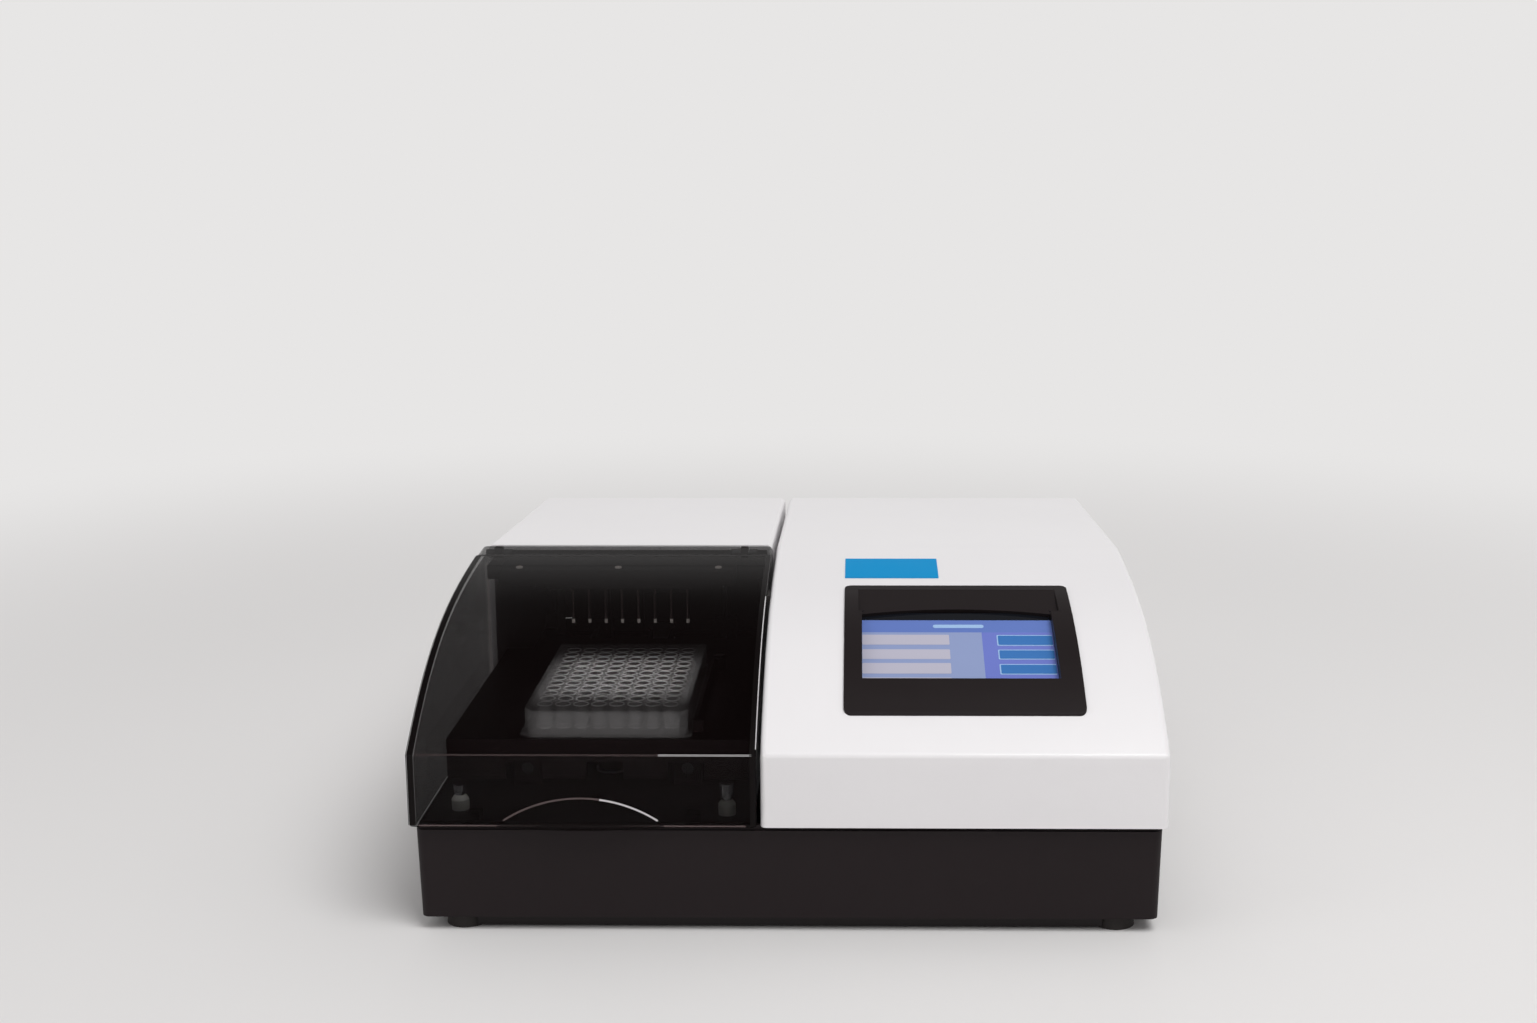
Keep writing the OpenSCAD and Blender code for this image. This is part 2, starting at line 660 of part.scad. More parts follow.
// Slide: rails, motor, belt and carriage
rail_y0 = 60;
rail_end = 20;
rail_y1 = lift_y - rail_end;
block_top = rail_z + rail_r + 3;
drive_gap = 32;
drive_y = lift_y - drive_gap;
idler_y = 78;
belt_z = shell_z + 3.4;
belt_h = 6;
belt_t = 1.2;
module y_rails() {
    color([0.8, 0.8, 0.82]) placed() for (s = [-1, 1])
        rod_y(plate_x + s * rail_dx, rail_y0, rail_y1, rail_z, rail_r);
}
module rail_blocks() {
    color([0.16, 0.16, 0.16]) placed() for (s = [-1, 1], y = [rail_y0, rail_y1 - 10]) difference() {
        x = plate_x + s * rail_dx;
        box([x - 7, y, shell_z], [x + 7, y + 10, block_top]);
        rod_y(x, y - 1, y + 11, rail_z, rail_r);
    }
}
module y_motor() {
    color([0.2, 0.2, 0.21]) placed() difference() {
        translate([plate_x, drive_y, base_top - 25]) linear_extrude(25) plan(35, 35, 4);
        rod_z(plate_x, drive_y, base_top - 8, base_top + 1, 2.5 + run_gap);
    }
}
module pulley_rim(y) {
    rod_z(plate_x, y, belt_z - 1.4, belt_z - 0.4, belt_r + 2);
    rod_z(plate_x, y, belt_z - 0.5, belt_z + belt_h + 0.5, belt_r - 0.05);
    rod_z(plate_x, y, belt_z + belt_h + 0.4, belt_z + belt_h + 1.4, belt_r + 2);
}
module drive_pulley() {
    color([0.75, 0.75, 0.76]) placed() {
        pulley_rim(drive_y);
        rod_z(plate_x, drive_y, base_top - 7.5, belt_z, 2.5);
    }
}
module idler_pulley() {
    color([0.75, 0.75, 0.76]) placed() difference() {
        pulley_rim(idler_y);
        rod_z(plate_x, idler_y, 0, crest_z, 2 + run_gap);
    }
}
module idler_bolt() {
    color([0.6, 0.6, 0.62]) placed() {
        rod_z(plate_x, idler_y, shell_z, belt_z - 1.4 - rest_gap, 4);
        rod_z(plate_x, idler_y, shell_z, belt_z + belt_h + 1.8, 2);
        rod_z(plate_x, idler_y, belt_z + belt_h + 1.7, belt_z + belt_h + 3, 3.5);
    }
}
module timing_belt() {
    color([0.1, 0.1, 0.1]) placed() translate([plate_x, 0, belt_z]) linear_extrude(belt_h) {
        for (s = [-1, 1]) translate([s * (belt_r + belt_t / 2), (drive_y + idler_y) / 2])
            square([belt_t, drive_y - idler_y], center = true);
        for (k = [0, 1]) translate([0, k == 0 ? idler_y : drive_y]) difference() {
            circle(belt_r + belt_t);
            circle(belt_r);
            translate([-20, k == 0 ? 0 : -40]) square(40);
        }
    }
}
tray_top = plate_z + 1.5;
tray_z = tray_top - tray_t;
frame_z = tray_z - 4;
leg_y = [104, 196];
leg_d = 20;
sleeve_r = rail_r + 2.5;
module carriage_frame() {
    color([0.65, 0.65, 0.67]) placed() difference() {
        union() {
            box([plate_x - rail_dx - 10, leg_y[0], frame_z],
                [plate_x + rail_dx + 10, leg_y[1] + leg_d, tray_z]);
            for (s = [-1, 1], y = leg_y)
                box([plate_x + s * rail_dx - 8, y, shell_z + 1.7],
                    [plate_x + s * rail_dx + 8, y + leg_d, frame_z + 1]);
        }
        for (s = [-1, 1]) rod_y(plate_x + s * rail_dx, 0, body_d, rail_z, sleeve_r);
        box([plate_x - 22, leg_y[0] + leg_d + 8, frame_z - 1], [plate_x + 22, leg_y[1] - 8, tray_z + 1]);
    }
}
module slide_bushings() {
    color([0.9, 0.88, 0.8]) placed() for (s = [-1, 1], y = leg_y) difference() {
        rod_y(plate_x + s * rail_dx, y, y + leg_d, rail_z, sleeve_r);
        rod_y(plate_x + s * rail_dx, 0, body_d, rail_z, rail_r + run_gap);
    }
}
module belt_clamp() {
    x = plate_x - belt_r - belt_t / 2;
    color([0.75, 0.75, 0.76]) placed() difference() {
        box([x - 5, leg_y[0] + 3, belt_z - 1], [x + 4, leg_y[0] + 17, frame_z]);
        box([x - 1, 0, 0], [x + 1, body_d, belt_z + belt_h + 0.5]);
    }
}

// Carrier tray, plate and clamp
row_a = 14.38;
plate_w = (wells_x - 1) * pitch + 22.48;
plate_l = (wells_y - 1) * pitch + 2 * row_a;
tray_x0 = cover_x0 + 8;
tray_x1 = cover_x1 - 4;
tray_y0 = plate_y - 3;
tray_y1 = leg_y[1] + leg_d;
tray_y2 = tray_y1 + 22;
skirt_z = 60;
module carrier_tray() {
    color([0.08, 0.07, 0.07]) placed() difference() {
        union() {
            box([tray_x0, tray_y0, tray_z], [tray_x1, tray_y1, tray_top]);
            box([tray_x0 + 18, tray_y0 + 10, tray_z], [tray_x1 - 6, tray_y2, tray_top]);
            box([tray_x0, tray_y0, skirt_z], [tray_x1, tray_y0 + 3, tray_top]);
            for (x = [tray_x0, tray_x1 - 3]) box([x, tray_y0, skirt_z + 8], [x + 3, tray_y1, tray_top]);
        }
        box([plate_x - plate_w / 2 - rest_gap, plate_y - rest_gap, plate_z],
            [plate_x + plate_w / 2 + rest_gap, plate_y + plate_l + rest_gap, tray_top + 1]);
        box([plate_x - 20, leg_y[0] + leg_d + 10, 0], [plate_x + 20, leg_y[1] - 30, crest_z]);
        rod_z(clamp_x, clamp_y, tray_z, tray_top + 1, 2);
        for (k = [-1:1]) box([plate_x + k * rail_dx - 9, tray_y0 - 1, skirt_z - 1],
            [plate_x + k * rail_dx + 9, tray_y0 + 4, block_top + 0.6]);
    }
}
body_in = 2.1;
module microplate() {
    skin = 1.1;
    well_y0 = plate_y + row_a;
    well_x0 = plate_x - pitch * (wells_x - 1) / 2;
    module wells(r) {
        for (i = [0:wells_x - 1], j = [0:wells_y - 1])
            translate([well_x0 + i * pitch, well_y0 + j * pitch]) circle(r, $fn = 32);
    }
    module outline(d) {
        translate([plate_x, plate_y + plate_l / 2]) difference() {
            square([plate_w - 2 * d, plate_l - 2 * d], center = true);
            for (s = [-1, 1]) translate([s * (plate_w / 2 - d), -plate_l / 2 + d]) rotate(45)
                square(s < 0 ? 8 : 5, center = true);
        }
    }
    color([0.85, 0.9, 0.92, 0.4]) placed() {
        translate([0, 0, plate_z]) linear_extrude(2.5) difference() {
            outline(0);
            outline(body_in + skin);
        }
        translate([0, 0, plate_z + 2.5]) linear_extrude(plate_h - 2.5) difference() {
            outline(body_in);
            outline(body_in + skin);
        }
        translate([0, 0, plate_z + plate_h - 1.6]) linear_extrude(1.6) difference() {
            outline(body_in + skin / 2);
            wells(well_r);
        }
        translate([0, 0, plate_z + 3.4]) linear_extrude(plate_h - 4) difference() {
            wells(well_r + 0.6);
            wells(well_r);
        }
        translate([0, 0, plate_z + 2.6]) linear_extrude(0.9) wells(well_r + 0.6);
    }
}
clamp_x = plate_x + plate_w / 2 + 5;
clamp_y = plate_y + plate_l - 6;
clamp_z = tray_top + rest_gap;
clamp_h = 6;
module plate_clamp() {
    x0 = plate_x + plate_w / 2 + rest_gap;
    color([0.3, 0.28, 0.28]) placed() difference() {
        union() {
            box([x0, plate_y + 8, clamp_z], [x0 + 2, clamp_y, clamp_z + clamp_h]);
            rod_z(clamp_x, clamp_y, clamp_z, clamp_z + clamp_h, 4);
            box([x0, plate_y + 8, clamp_z], [x0 + 5, plate_y + 12, clamp_z + clamp_h]);
        }
        rod_z(clamp_x, clamp_y, 0, crest_z, 2 + run_gap);
        box([plate_x, plate_y, 0], [x0, body_d, crest_z]);
    }
}
module clamp_pin() {
    color([0.75, 0.75, 0.76]) placed() {
        rod_z(clamp_x, clamp_y, tray_z, clamp_z + clamp_h + 0.3, 2);
        rod_z(clamp_x, clamp_y, clamp_z + clamp_h + 0.3, clamp_z + clamp_h + 1.5, 3);
    }
}

// Thumbscrews at the front corners of the deck
spacer_h = 7;
module knob_bases() {
    color([0.88, 0.88, 0.86]) placed() for (p = knobs) difference() {
        union() {
            rod_z(p[0], p[1], shell_z, shell_z + spacer_h - 2, 4.2);
            translate([p[0], p[1], shell_z + spacer_h - 2]) cylinder(h = 2, r1 = 4.2, r2 = 2.8);
        }
        rod_z(p[0], p[1], 0, crest_z, shank_r + 0.1);
    }
}
module thumbscrew(p, z1, r) {
    z0 = shell_z + spacer_h + rest_gap;
    color([0.8, 0.8, 0.82]) placed() {
        rod_z(p[0], p[1], floor_z + 24, z0 + 0.5, shank_r);
        rod_z(p[0], p[1], z0, z0 + 1.2, 2.2);
        difference() {
            rod_z(p[0], p[1], z0 + 1.2, z1, r);
            for (a = [0:30:330]) translate([p[0] + r * cos(a), p[1] + r * sin(a), z0 + 2])
                cylinder(h = z1, r = 0.35, $fn = 16);
        }
    }
}
module left_thumbscrew() {
    thumbscrew(knobs[0], shell_z + 12.4, 3.2);
}
module right_thumbscrew() {
    thumbscrew(knobs[1], shell_z + 15.4, 3.5);
}

// Screen: bezel, touch panel, display and its board
flange = 3.2;
bezel_rear = bezel_y + bezel_d;
screen_tilt = atan((arch_z(bezel_rear) - arch_z(bezel_y)) / bezel_d) + tilt_extra;
screen_x = bezel_x + bezel_w / 2 - 0.9;
screen_y = bezel_y + bezel_d / 2 - 5.4;
screen_z = arch_z(screen_y) - screen_sink;
window_w = bezel_w - 2 * bezel_rim;
window_y0 = 25 - bezel_d / 2;
window_y1 = bezel_d / 2 - 21;
glass_w = window_w + 9.5;
glass_d = bezel_d - 36;
module on_screen(z) {
    translate([screen_x, screen_y, screen_z]) rotate([screen_tilt, 0, 0]) translate([0, 0, z]) children();
}
module bezel_band(d0, d1) {
    polygon(concat(arch_line(d0), [for (k = [arch_steps:-1:0]) arch_in(k / arch_steps, d1)]));
}
module bezel_plan(inset, r) {
    translate([bezel_x + bezel_w / 2, bezel_y + bezel_d / 2, 0])
        linear_extrude(crest_z + 10) plan(bezel_w - 2 * inset, bezel_d - 2 * inset, r);
}
module screen_bezel() {
    color([0.1, 0.08, 0.08]) placed() difference() {
        union() {
            intersection() {
                along_x(bezel_x - 1, bezel_x + bezel_w + 1) bezel_band(-bezel_proud, 0);
                bezel_plan(0, 3.5);
            }
            intersection() {
                along_x(bezel_x - 1, bezel_x + bezel_w + 1) bezel_band(-bezel_proud / 2, 5);
                bezel_plan(flange + rest_gap, 2.7);
            }
        }
        on_screen(-1) linear_extrude(30) intersection() {
            translate([-window_w / 2, window_y0]) square([window_w, window_y1 - window_y0 + 4]);
            translate([0, window_y1 + 4 - 235]) circle(235, $fn = 256);
        }
        on_screen(-20) linear_extrude(20) square([glass_w, glass_d], center = true);
        hood_cut();
    }
}
module hood_cut() {
    y0 = screen_y - window_y0;
    y1 = bezel_rear - 5.5;
    along_x(bezel_x + 7, bezel_x + bezel_w - 6.5)
        polygon([[y0, arch_z(y0) - 0.9], [y1, arch_z(y1) + 1.1], [y1, crest_z + 4], [y0, crest_z + 4]]);
}
module screen_sheet(z0, t, w, d) {
    on_screen(z0 - t) linear_extrude(t) plan(w, d, 2);
}
module touch_panel() {
    color([0.1, 0.12, 0.16]) placed() screen_sheet(0, 1.1, glass_w - 0.6, glass_d - 0.6);
}
module display_panel() {
    color([0.45, 0.55, 0.8]) placed() screen_sheet(-1.1, 3, glass_w - 0.6, glass_d - 0.6);
}
module display_board() {
    color([0.1, 0.35, 0.2]) placed() {
        screen_sheet(-8.1, 1.6, glass_w - 4, glass_d - 4);
        for (x = [-1, 1], y = [-1, 1])
            on_screen(-8.1) translate([x * (glass_w / 2 - 6.5), y * (glass_d / 2 - 7), 0])
                cylinder(h = 4, r = 2.5);
        on_screen(-13) translate([-20, -12, 0]) cube([24, 18, 3.3]);
    }
}

// Electronics and fluid parts on the tub floor
board_x0 = 15;
board_y0 = 42;
board_side = 28;
board_rear = 33;
board_w = half_w - board_side - board_x0;
board_d = valve_y0 - board_rear - board_y0;
board_t = 1.6;
// Parts on the board: place and size as shares of the board, and height
board_parts = [[0.15, 0.2, 0.16, 0.15, 3], [0.44, 0.13, 0.1, 0.09, 2], [0.7, 0.17, 0.15, 0.08, 8],
    [0.15, 0.6, 0.22, 0.07, 9], [0.52, 0.63, 0.22, 0.07, 9], [0.78, 0.53, 0.12, 0.27, 11],
    [0.18, 0.83, 0.6, 0.055, 7]];
board_z = floor_z + 7;
module controller_board() {
    color([0.1, 0.35, 0.2]) placed() {
        box([board_x0, board_y0, board_z], [board_x0 + board_w, board_y0 + board_d, board_z + board_t]);
        for (p = board_parts) {
            a = [board_x0 + p[0] * board_w, board_y0 + p[1] * board_d, board_z + board_t];
            box(a, a + [p[2] * board_w, p[3] * board_d, p[4]]);
        }
    }
}
module board_standoffs() {
    color([0.75, 0.6, 0.3]) placed() for (x = [6, board_w - 6], y = [6, board_d - 6])
        rod_z(board_x0 + x, board_y0 + y, floor_z, board_z, 3);
}
pump_side = 128;
pump_x = half_w - pump_side;
pump_w = 44;
pump_h = 42;
head_d = 24;
motor_l = 63;
motor_r = 17;
pump_z = floor_z + motor_r + 3;
supply_x = pump_x + 10;
supply_top = floor_z + pump_h + 4;
module dispense_pump() {
    y = pump_y0 + head_d;
    color([0.25, 0.25, 0.27]) placed() {
        box([pump_x - pump_w / 2, pump_y0, floor_z], [pump_x + pump_w / 2, y, floor_z + pump_h]);
        rod_y(pump_x, y, y + motor_l, pump_z, motor_r);
        box([pump_x - 12, y, floor_z], [pump_x + 12, y + motor_l - 7, pump_z - 12]);
        rod_z(supply_x, pump_y0 + head_d / 2, floor_z + pump_h, supply_top, hose_r);
    }
}
valve_w = 55;
valve_d = 40;
valve_h = 26;
coil_r = 9;
coil_h = 24;
valve_side = 28;
valve_x0 = half_w - valve_w - valve_side;
module valve_block() {
    y = valve_y0 + valve_d / 2;
    z = floor_z + valve_h;
    color([0.6, 0.6, 0.62]) placed() {
        box([valve_x0, valve_y0, floor_z], [valve_x0 + valve_w, valve_y0 + valve_d, z]);
        for (k = [0.25, 0.75]) {
            rod_z(valve_x0 + k * valve_w, y, z, z + coil_h, coil_r);
            rod_z(valve_x0 + k * valve_w, y, z + coil_h, z + coil_h + 6, coil_r - 4);
        }
    }
}
waste_side = 66;
waste_x = half_w - waste_side;
inner_y = body_d - wall - 9;
module fluid_tubing() {
    color([0.85, 0.85, 0.86, 0.6]) placed() {
        hose([[supply_x, inner_y, barb_z], [supply_x, pump_y0 + head_d / 2, barb_z],
            [supply_x, pump_y0 + head_d / 2, supply_top]], hose_r, tub_bend);
        run([pump_x + pump_w / 2, pump_y0 + 8, line_z], [valve_x0, pump_y0 + 8, line_z], hose_r);
        hose([[valve_x0, supply_y, line_z], [riser_x[1], supply_y, line_z], [riser_x[1], line_y, line_z],
            [riser_x[1], line_y, riser_z]], hose_r, tub_bend);
        hose([[riser_x[0], line_y, riser_z], [riser_x[0], line_y, line_z], [waste_x, line_y, line_z],
            [waste_x, line_y, barb_z], [waste_x, inner_y, barb_z]], hose_r, tub_bend);
    }
}

// Rear panel and what it carries
panel_x0 = supply_x - 12;
panel_x1 = half_w - 10;
panel_z0 = shell_z + 4.2;
panel_z1 = rear_z - 17;
panel_rim = 3;
plate_back = body_d - wall;
panel_t = 2;
barb_z = mix(panel_z0, panel_z1, barb_share);
jack_side = 36;
jack_x = half_w - jack_side;
jack_z = barb_z;
port_x = jack_x;
port_z = mix(panel_z0, panel_z1, 0.65);
switch_side = 96;
switch_x = half_w - switch_side;
switch_z = mix(panel_z0, panel_z1, 0.6);
module rear_panel() {
    color([0.15, 0.15, 0.16]) placed() difference() {
        box([panel_x0, plate_back - panel_t, panel_z0], [panel_x1, plate_back, panel_z1]);
        for (x = [supply_x, waste_x]) rod_y(x, 0, body_d, barb_z, barb_r);
        rod_y(jack_x, 0, body_d, jack_z, 5);
        box([port_x - 6.5, 0, port_z - 5.5], [port_x + 6.5, body_d, port_z + 5.5]);
        box([switch_x - 10, 0, switch_z - 6.5], [switch_x + 10, body_d, switch_z + 6.5]);
    }
}
module fitting(x) {
    reach = body_d + barb_proud;
    color([0.9, 0.9, 0.88]) placed() difference() {
        union() {
            rod_y(x, inner_y, plate_back, barb_z, barb_r);
            rod_y(x, plate_back, plate_back + 3, barb_z, barb_r + 3.5);
            rod_y(x, plate_back + 3, reach, barb_z, barb_r);
            for (k = [0:1]) translate([x, reach - 9 + k * 4.5, barb_z]) rotate([-90, 0, 0])
                cylinder(h = 4.5, r1 = barb_r + 0.9, r2 = barb_r - 0.3);
        }
        rod_y(x, inner_y - 1, reach + 1, barb_z, barb_r - 1.3);
    }
}
module supply_fitting() {
    fitting(supply_x);
}
module waste_fitting() {
    fitting(waste_x);
}
module power_jack() {
    color([0.1, 0.1, 0.1]) placed() difference() {
        union() {
            box([jack_x - 7, plate_back - 16, jack_z - 7], [jack_x + 7, plate_back - panel_t, jack_z + 7]);
            rod_y(jack_x, plate_back - panel_t, plate_back, jack_z, 5);
            rod_y(jack_x, plate_back, plate_back + 2, jack_z, 6.5);
        }
        rod_y(jack_x, plate_back - 9, plate_back + 3, jack_z, jack_r);
    }
}
module data_port() {
    color([0.7, 0.7, 0.72]) placed() difference() {
        box([port_x - 6.5, plate_back - 15, port_z - 5.5], [port_x + 6.5, plate_back + 0.6, port_z + 5.5]);
        box([port_x - 4.4, plate_back - 9, port_z - 4.2], [port_x + 4.4, body_d, port_z + 4.2]);
    }
}
rocker_y = plate_back - 4;
rocker_tilt = 8;
module switch_frame() {
    color([0.08, 0.08, 0.08]) placed() difference() {
        union() {
            box([switch_x - 12, plate_back, switch_z - 8], [switch_x + 12, plate_back + 2, switch_z + 8]);
            box([switch_x - 10, plate_back - 14, switch_z - 6.5],
                [switch_x + 10, plate_back, switch_z + 6.5]);
        }
        box([switch_x - 9.4, rocker_y - 4.5, switch_z - 5.4], [switch_x + 9.4, body_d, switch_z + 5.4]);
        rod_z(switch_x, rocker_y, switch_z - 6.1, switch_z + 6.1, 1.2 + run_gap);
    }
}
module switch_rocker() {
    color([0.12, 0.12, 0.12]) placed()
        translate([switch_x, rocker_y, switch_z]) rotate([0, 0, -rocker_tilt]) {
            translate([0, 0, -5.1]) linear_extrude(10.2)
                polygon([[-8.2, 6.4], [0, 5.6], [8.2, 6.4], [5.6, -1.6], [-5.6, -1.6]]);
            translate([0, 0, -6]) cylinder(h = 12, r = 1.2);
        }
}

base_tub();
base_plinth();
rubber_feet();
deck();
right_housing();
rear_cover();
rear_panel();
housing_screws();
seam_buffer();
header_panel();
header_screws();
hinge_brackets();
hinge_pins();
mist_cover();
z_frame();
z_guide_rods();
z_motor();
lead_screw();
z_carriage();
z_bushings();
lift_nut();
manifold_arms();
manifold_bar();
suction_tubes();
supply_tubes();
manifold_hoses();
y_rails();
rail_blocks();
y_motor();
drive_pulley();
idler_pulley();
idler_bolt();
timing_belt();
carriage_frame();
slide_bushings();
belt_clamp();
carrier_tray();
microplate();
plate_clamp();
clamp_pin();
knob_bases();
left_thumbscrew();
right_thumbscrew();
screen_bezel();
touch_panel();
display_panel();
display_board();
controller_board();
board_standoffs();
dispense_pump();
valve_block();
fluid_tubing();
supply_fitting();
waste_fitting();
power_jack();
data_port();
switch_frame();
switch_rocker();
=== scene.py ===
"""Looks of the microplate washer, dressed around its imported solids."""

import json
import logging
import math
from dataclasses import dataclass
from enum import Enum
from typing import Callable, Sequence

import bmesh
import bpy
from mathutils import Euler, Matrix, Vector


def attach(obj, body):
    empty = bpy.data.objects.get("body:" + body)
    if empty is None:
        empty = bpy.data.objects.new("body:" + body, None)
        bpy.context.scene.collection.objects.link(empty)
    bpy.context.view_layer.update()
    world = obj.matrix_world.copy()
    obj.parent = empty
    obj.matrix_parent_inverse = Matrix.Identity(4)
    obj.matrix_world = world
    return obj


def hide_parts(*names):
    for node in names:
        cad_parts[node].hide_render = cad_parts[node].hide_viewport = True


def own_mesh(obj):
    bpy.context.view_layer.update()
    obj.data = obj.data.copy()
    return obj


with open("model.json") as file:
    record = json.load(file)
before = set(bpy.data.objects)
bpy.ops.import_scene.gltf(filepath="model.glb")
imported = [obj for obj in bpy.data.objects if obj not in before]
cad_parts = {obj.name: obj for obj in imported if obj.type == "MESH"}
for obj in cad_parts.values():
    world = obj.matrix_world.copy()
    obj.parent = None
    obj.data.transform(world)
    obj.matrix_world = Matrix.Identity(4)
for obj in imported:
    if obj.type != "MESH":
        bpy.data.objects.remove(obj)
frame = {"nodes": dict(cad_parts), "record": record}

LOG = logging.getLogger("plate_washer")
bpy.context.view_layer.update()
MM = 0.001
FRONT_WALL = -0.202
ACROSS = Vector((1.0, 0.0, 0.0))
FORWARD = Vector((0.0, -1.0, 0.0))
ORIGIN = Vector((0.0, 0.0, 0.0))

STEEP = 0.9

PLATE_MIDDLE = -92.0
PITCH = 9.0
LINES_ACROSS = 8
LINES_BACK = 12

COAT_ROUGHNESS = 0.06
PLASTIC_IOR = 1.5
BUMP_STRENGTH = 0.5
PLAIN_GRAIN = 900.0
BRUSHED_GRAIN = 1600.0
BRUSHED_STRETCH = 0.06
CLOUDS = (14.0, 3.0)
SMEARS = (55.0, 4.0)
GRAIN = (PLAIN_GRAIN, 2.0)

Point = tuple[float, float, float]
Color = tuple[float, float, float]
Box = tuple[float, float, float, float]
Pair = tuple[float, float]
Piece = bpy.types.Object
Steps = list[tuple[Vector, Vector, Vector]]
Element = bmesh.types.BMFace | bmesh.types.BMEdge
Test = Callable[[Element], bool]
Node = bpy.types.Node
Socket = bpy.types.NodeSocket


def at(x: float, y: float, z: float) -> Vector:
    """A point given in millimetres from the front wall, in the row frame.

    Args:
        x: millimetres to the right of the middle.
        y: millimetres behind the front wall.
        z: millimetres above the bench.

    Returns:
        The point in metres.
    """
    return Vector((x * MM, y * MM + FRONT_WALL, z * MM))


def line_x(k: int) -> float:
    """Where the plate's k-th line of wells lies across, in millimetres."""
    return PLATE_MIDDLE + (k - (LINES_ACROSS - 1) / 2) * PITCH


class Arch:
    """The curve of the arched front, from the nose to the crest."""

    NOSE = Vector((0.0, 89.3))
    CREST = Vector((195.0, 146.0))
    CORNER = Vector((66.3, 138.97))
    PULL = 0.78
    HALVINGS = 40
    HALF_STEP = 0.5

    @classmethod
    def point(cls, t: float) -> Vector:
        """A point of the curve.

        Args:
            t: place on the curve, from 0 at the nose to 1 at the crest.

        Returns:
            Its y and z in millimetres.
        """
        a = cls.NOSE.lerp(cls.CORNER, cls.PULL)
        b = cls.CREST.lerp(cls.CORNER, cls.PULL)
        s = 1 - t
        return s**3 * cls.NOSE + 3 * t * s * s * a + 3 * t * t * s * b + t**3 * cls.CREST

    @classmethod
    def height(cls, y: float) -> float:
        """Height of the arch.

        Args:
            y: millimetres behind the front wall.

        Returns:
            The height in millimetres.
        """
        low, high = 0.0, 1.0
        for _ in range(cls.HALVINGS):
            middle = (low + high) / 2
            low, high = (middle, high) if cls.point(middle)[0] < y else (low, middle)
        return cls.point(low)[1]

    @classmethod
    def normal(cls, y: float) -> Vector:
        """Outward unit normal of the arch, y millimetres behind the front wall."""
        rise = cls.height(y + cls.HALF_STEP) - cls.height(y - cls.HALF_STEP)
        return Vector((0.0, -rise, 2 * cls.HALF_STEP)).normalized()


class Graph:
    """Adds and links the nodes of one tree."""

    def __init__(self, tree: bpy.types.NodeTree) -> None:
        """Starts on a tree."""
        self.nodes, self.links = tree.nodes, tree.links

    def add(self, kind: str, values: dict[str | int, object] | None = None, **settings: object) -> Node:
        """Adds a shader node.

        Args:
            kind: the last part of its type's name.
            values: values of its inputs, by name or number.
            **settings: its settings.

        Returns:
            The node.
        """
        node = self.nodes.new(f"ShaderNode{kind}")
        for name, value in settings.items():
            setattr(node, name, value)
        for socket, value in (values or {}).items():
            node.inputs[socket].default_value = value
        return node

    def link(self, *pairs: tuple[Socket, Socket]) -> None:
        """Links pairs of sockets, each an output and an input."""
        for source, target in pairs:
            self.links.new(source, target)


class Texture(Enum):
    """The kind of fine relief that a finish has."""

    SMOOTH = "smooth"
    MOULDED = "moulded"
    BRUSHED = "brushed"


@dataclass(frozen=True)
class Finish:
    """One surface finish.

    Attributes:
        name: the record's material slot, or a name of its own.
        color: linear base colour.
        roughness: middle roughness.
        texture: kind of fine relief.
        metallic: 1 for bare metal.
        coat: weight of the clear coat.
        alpha: opacity.
        gloss: level of the mirror reflection, 0.5 for plain plastic.
        spread: how far the colour varies over the surface.
        rough_spread: how far the roughness varies.
        relief: height of the fine relief, in millimetres.
        glow: strength of the light it gives.
    """

    name: str
    color: Color
    roughness: float
    texture: Texture = Texture.MOULDED
    metallic: float = 0.0
    coat: float = 0.0
    alpha: float = 1.0
    gloss: float = 0.5
    spread: float = 0.06
    rough_spread: float = 0.08
    relief: float = 0.02
    glow: float = 0.0

    def build(self) -> bpy.types.Material:
        """Makes the material.

        Returns:
            The material, with its variation taken from the shared group.
        """
        material = bpy.data.materials.new(self.name)
        material.use_nodes = True
        graph = Graph(material.node_tree)
        graph.nodes.clear()
        brushed = self.texture is Texture.BRUSHED
        out, place = graph.add("OutputMaterial"), graph.add("TexCoord")
        stretch = graph.add("Mapping", {"Scale": (BRUSHED_STRETCH if brushed else 1.0, 1.0, 1.0)})
        vary = graph.add("Group", {
            "Color": (*self.color, 1.0), "Spread": self.spread, "Roughness": self.roughness,
            "Rough Spread": self.rough_spread, "Grain": BRUSHED_GRAIN if brushed else PLAIN_GRAIN,
        }, node_tree=surface_variation())
        shader = graph.add("BsdfPrincipled", {
            "Metallic": self.metallic, "Coat Weight": self.coat, "Coat Roughness": COAT_ROUGHNESS,
            "Alpha": self.alpha, "IOR": PLASTIC_IOR, "Specular IOR Level": self.gloss,
            "Emission Strength": self.glow,
        })
        graph.link((place.outputs["Object"], stretch.inputs[0]), (stretch.outputs[0], vary.inputs["Vector"]),
                   (vary.outputs["Color"], shader.inputs["Base Color"]),
                   (vary.outputs["Roughness"], shader.inputs["Roughness"]),
                   (shader.outputs[0], out.inputs[0]))
        if self.texture is not Texture.SMOOTH:
            bump = graph.add("Bump", {"Strength": BUMP_STRENGTH, "Distance": self.relief * MM})
            graph.link((vary.outputs["Height"], bump.inputs["Height"]),
                       (bump.outputs["Normal"], shader.inputs["Normal"]))
        if self.glow:
            graph.link((vary.outputs["Color"], shader.inputs["Emission Color"]))
        return material


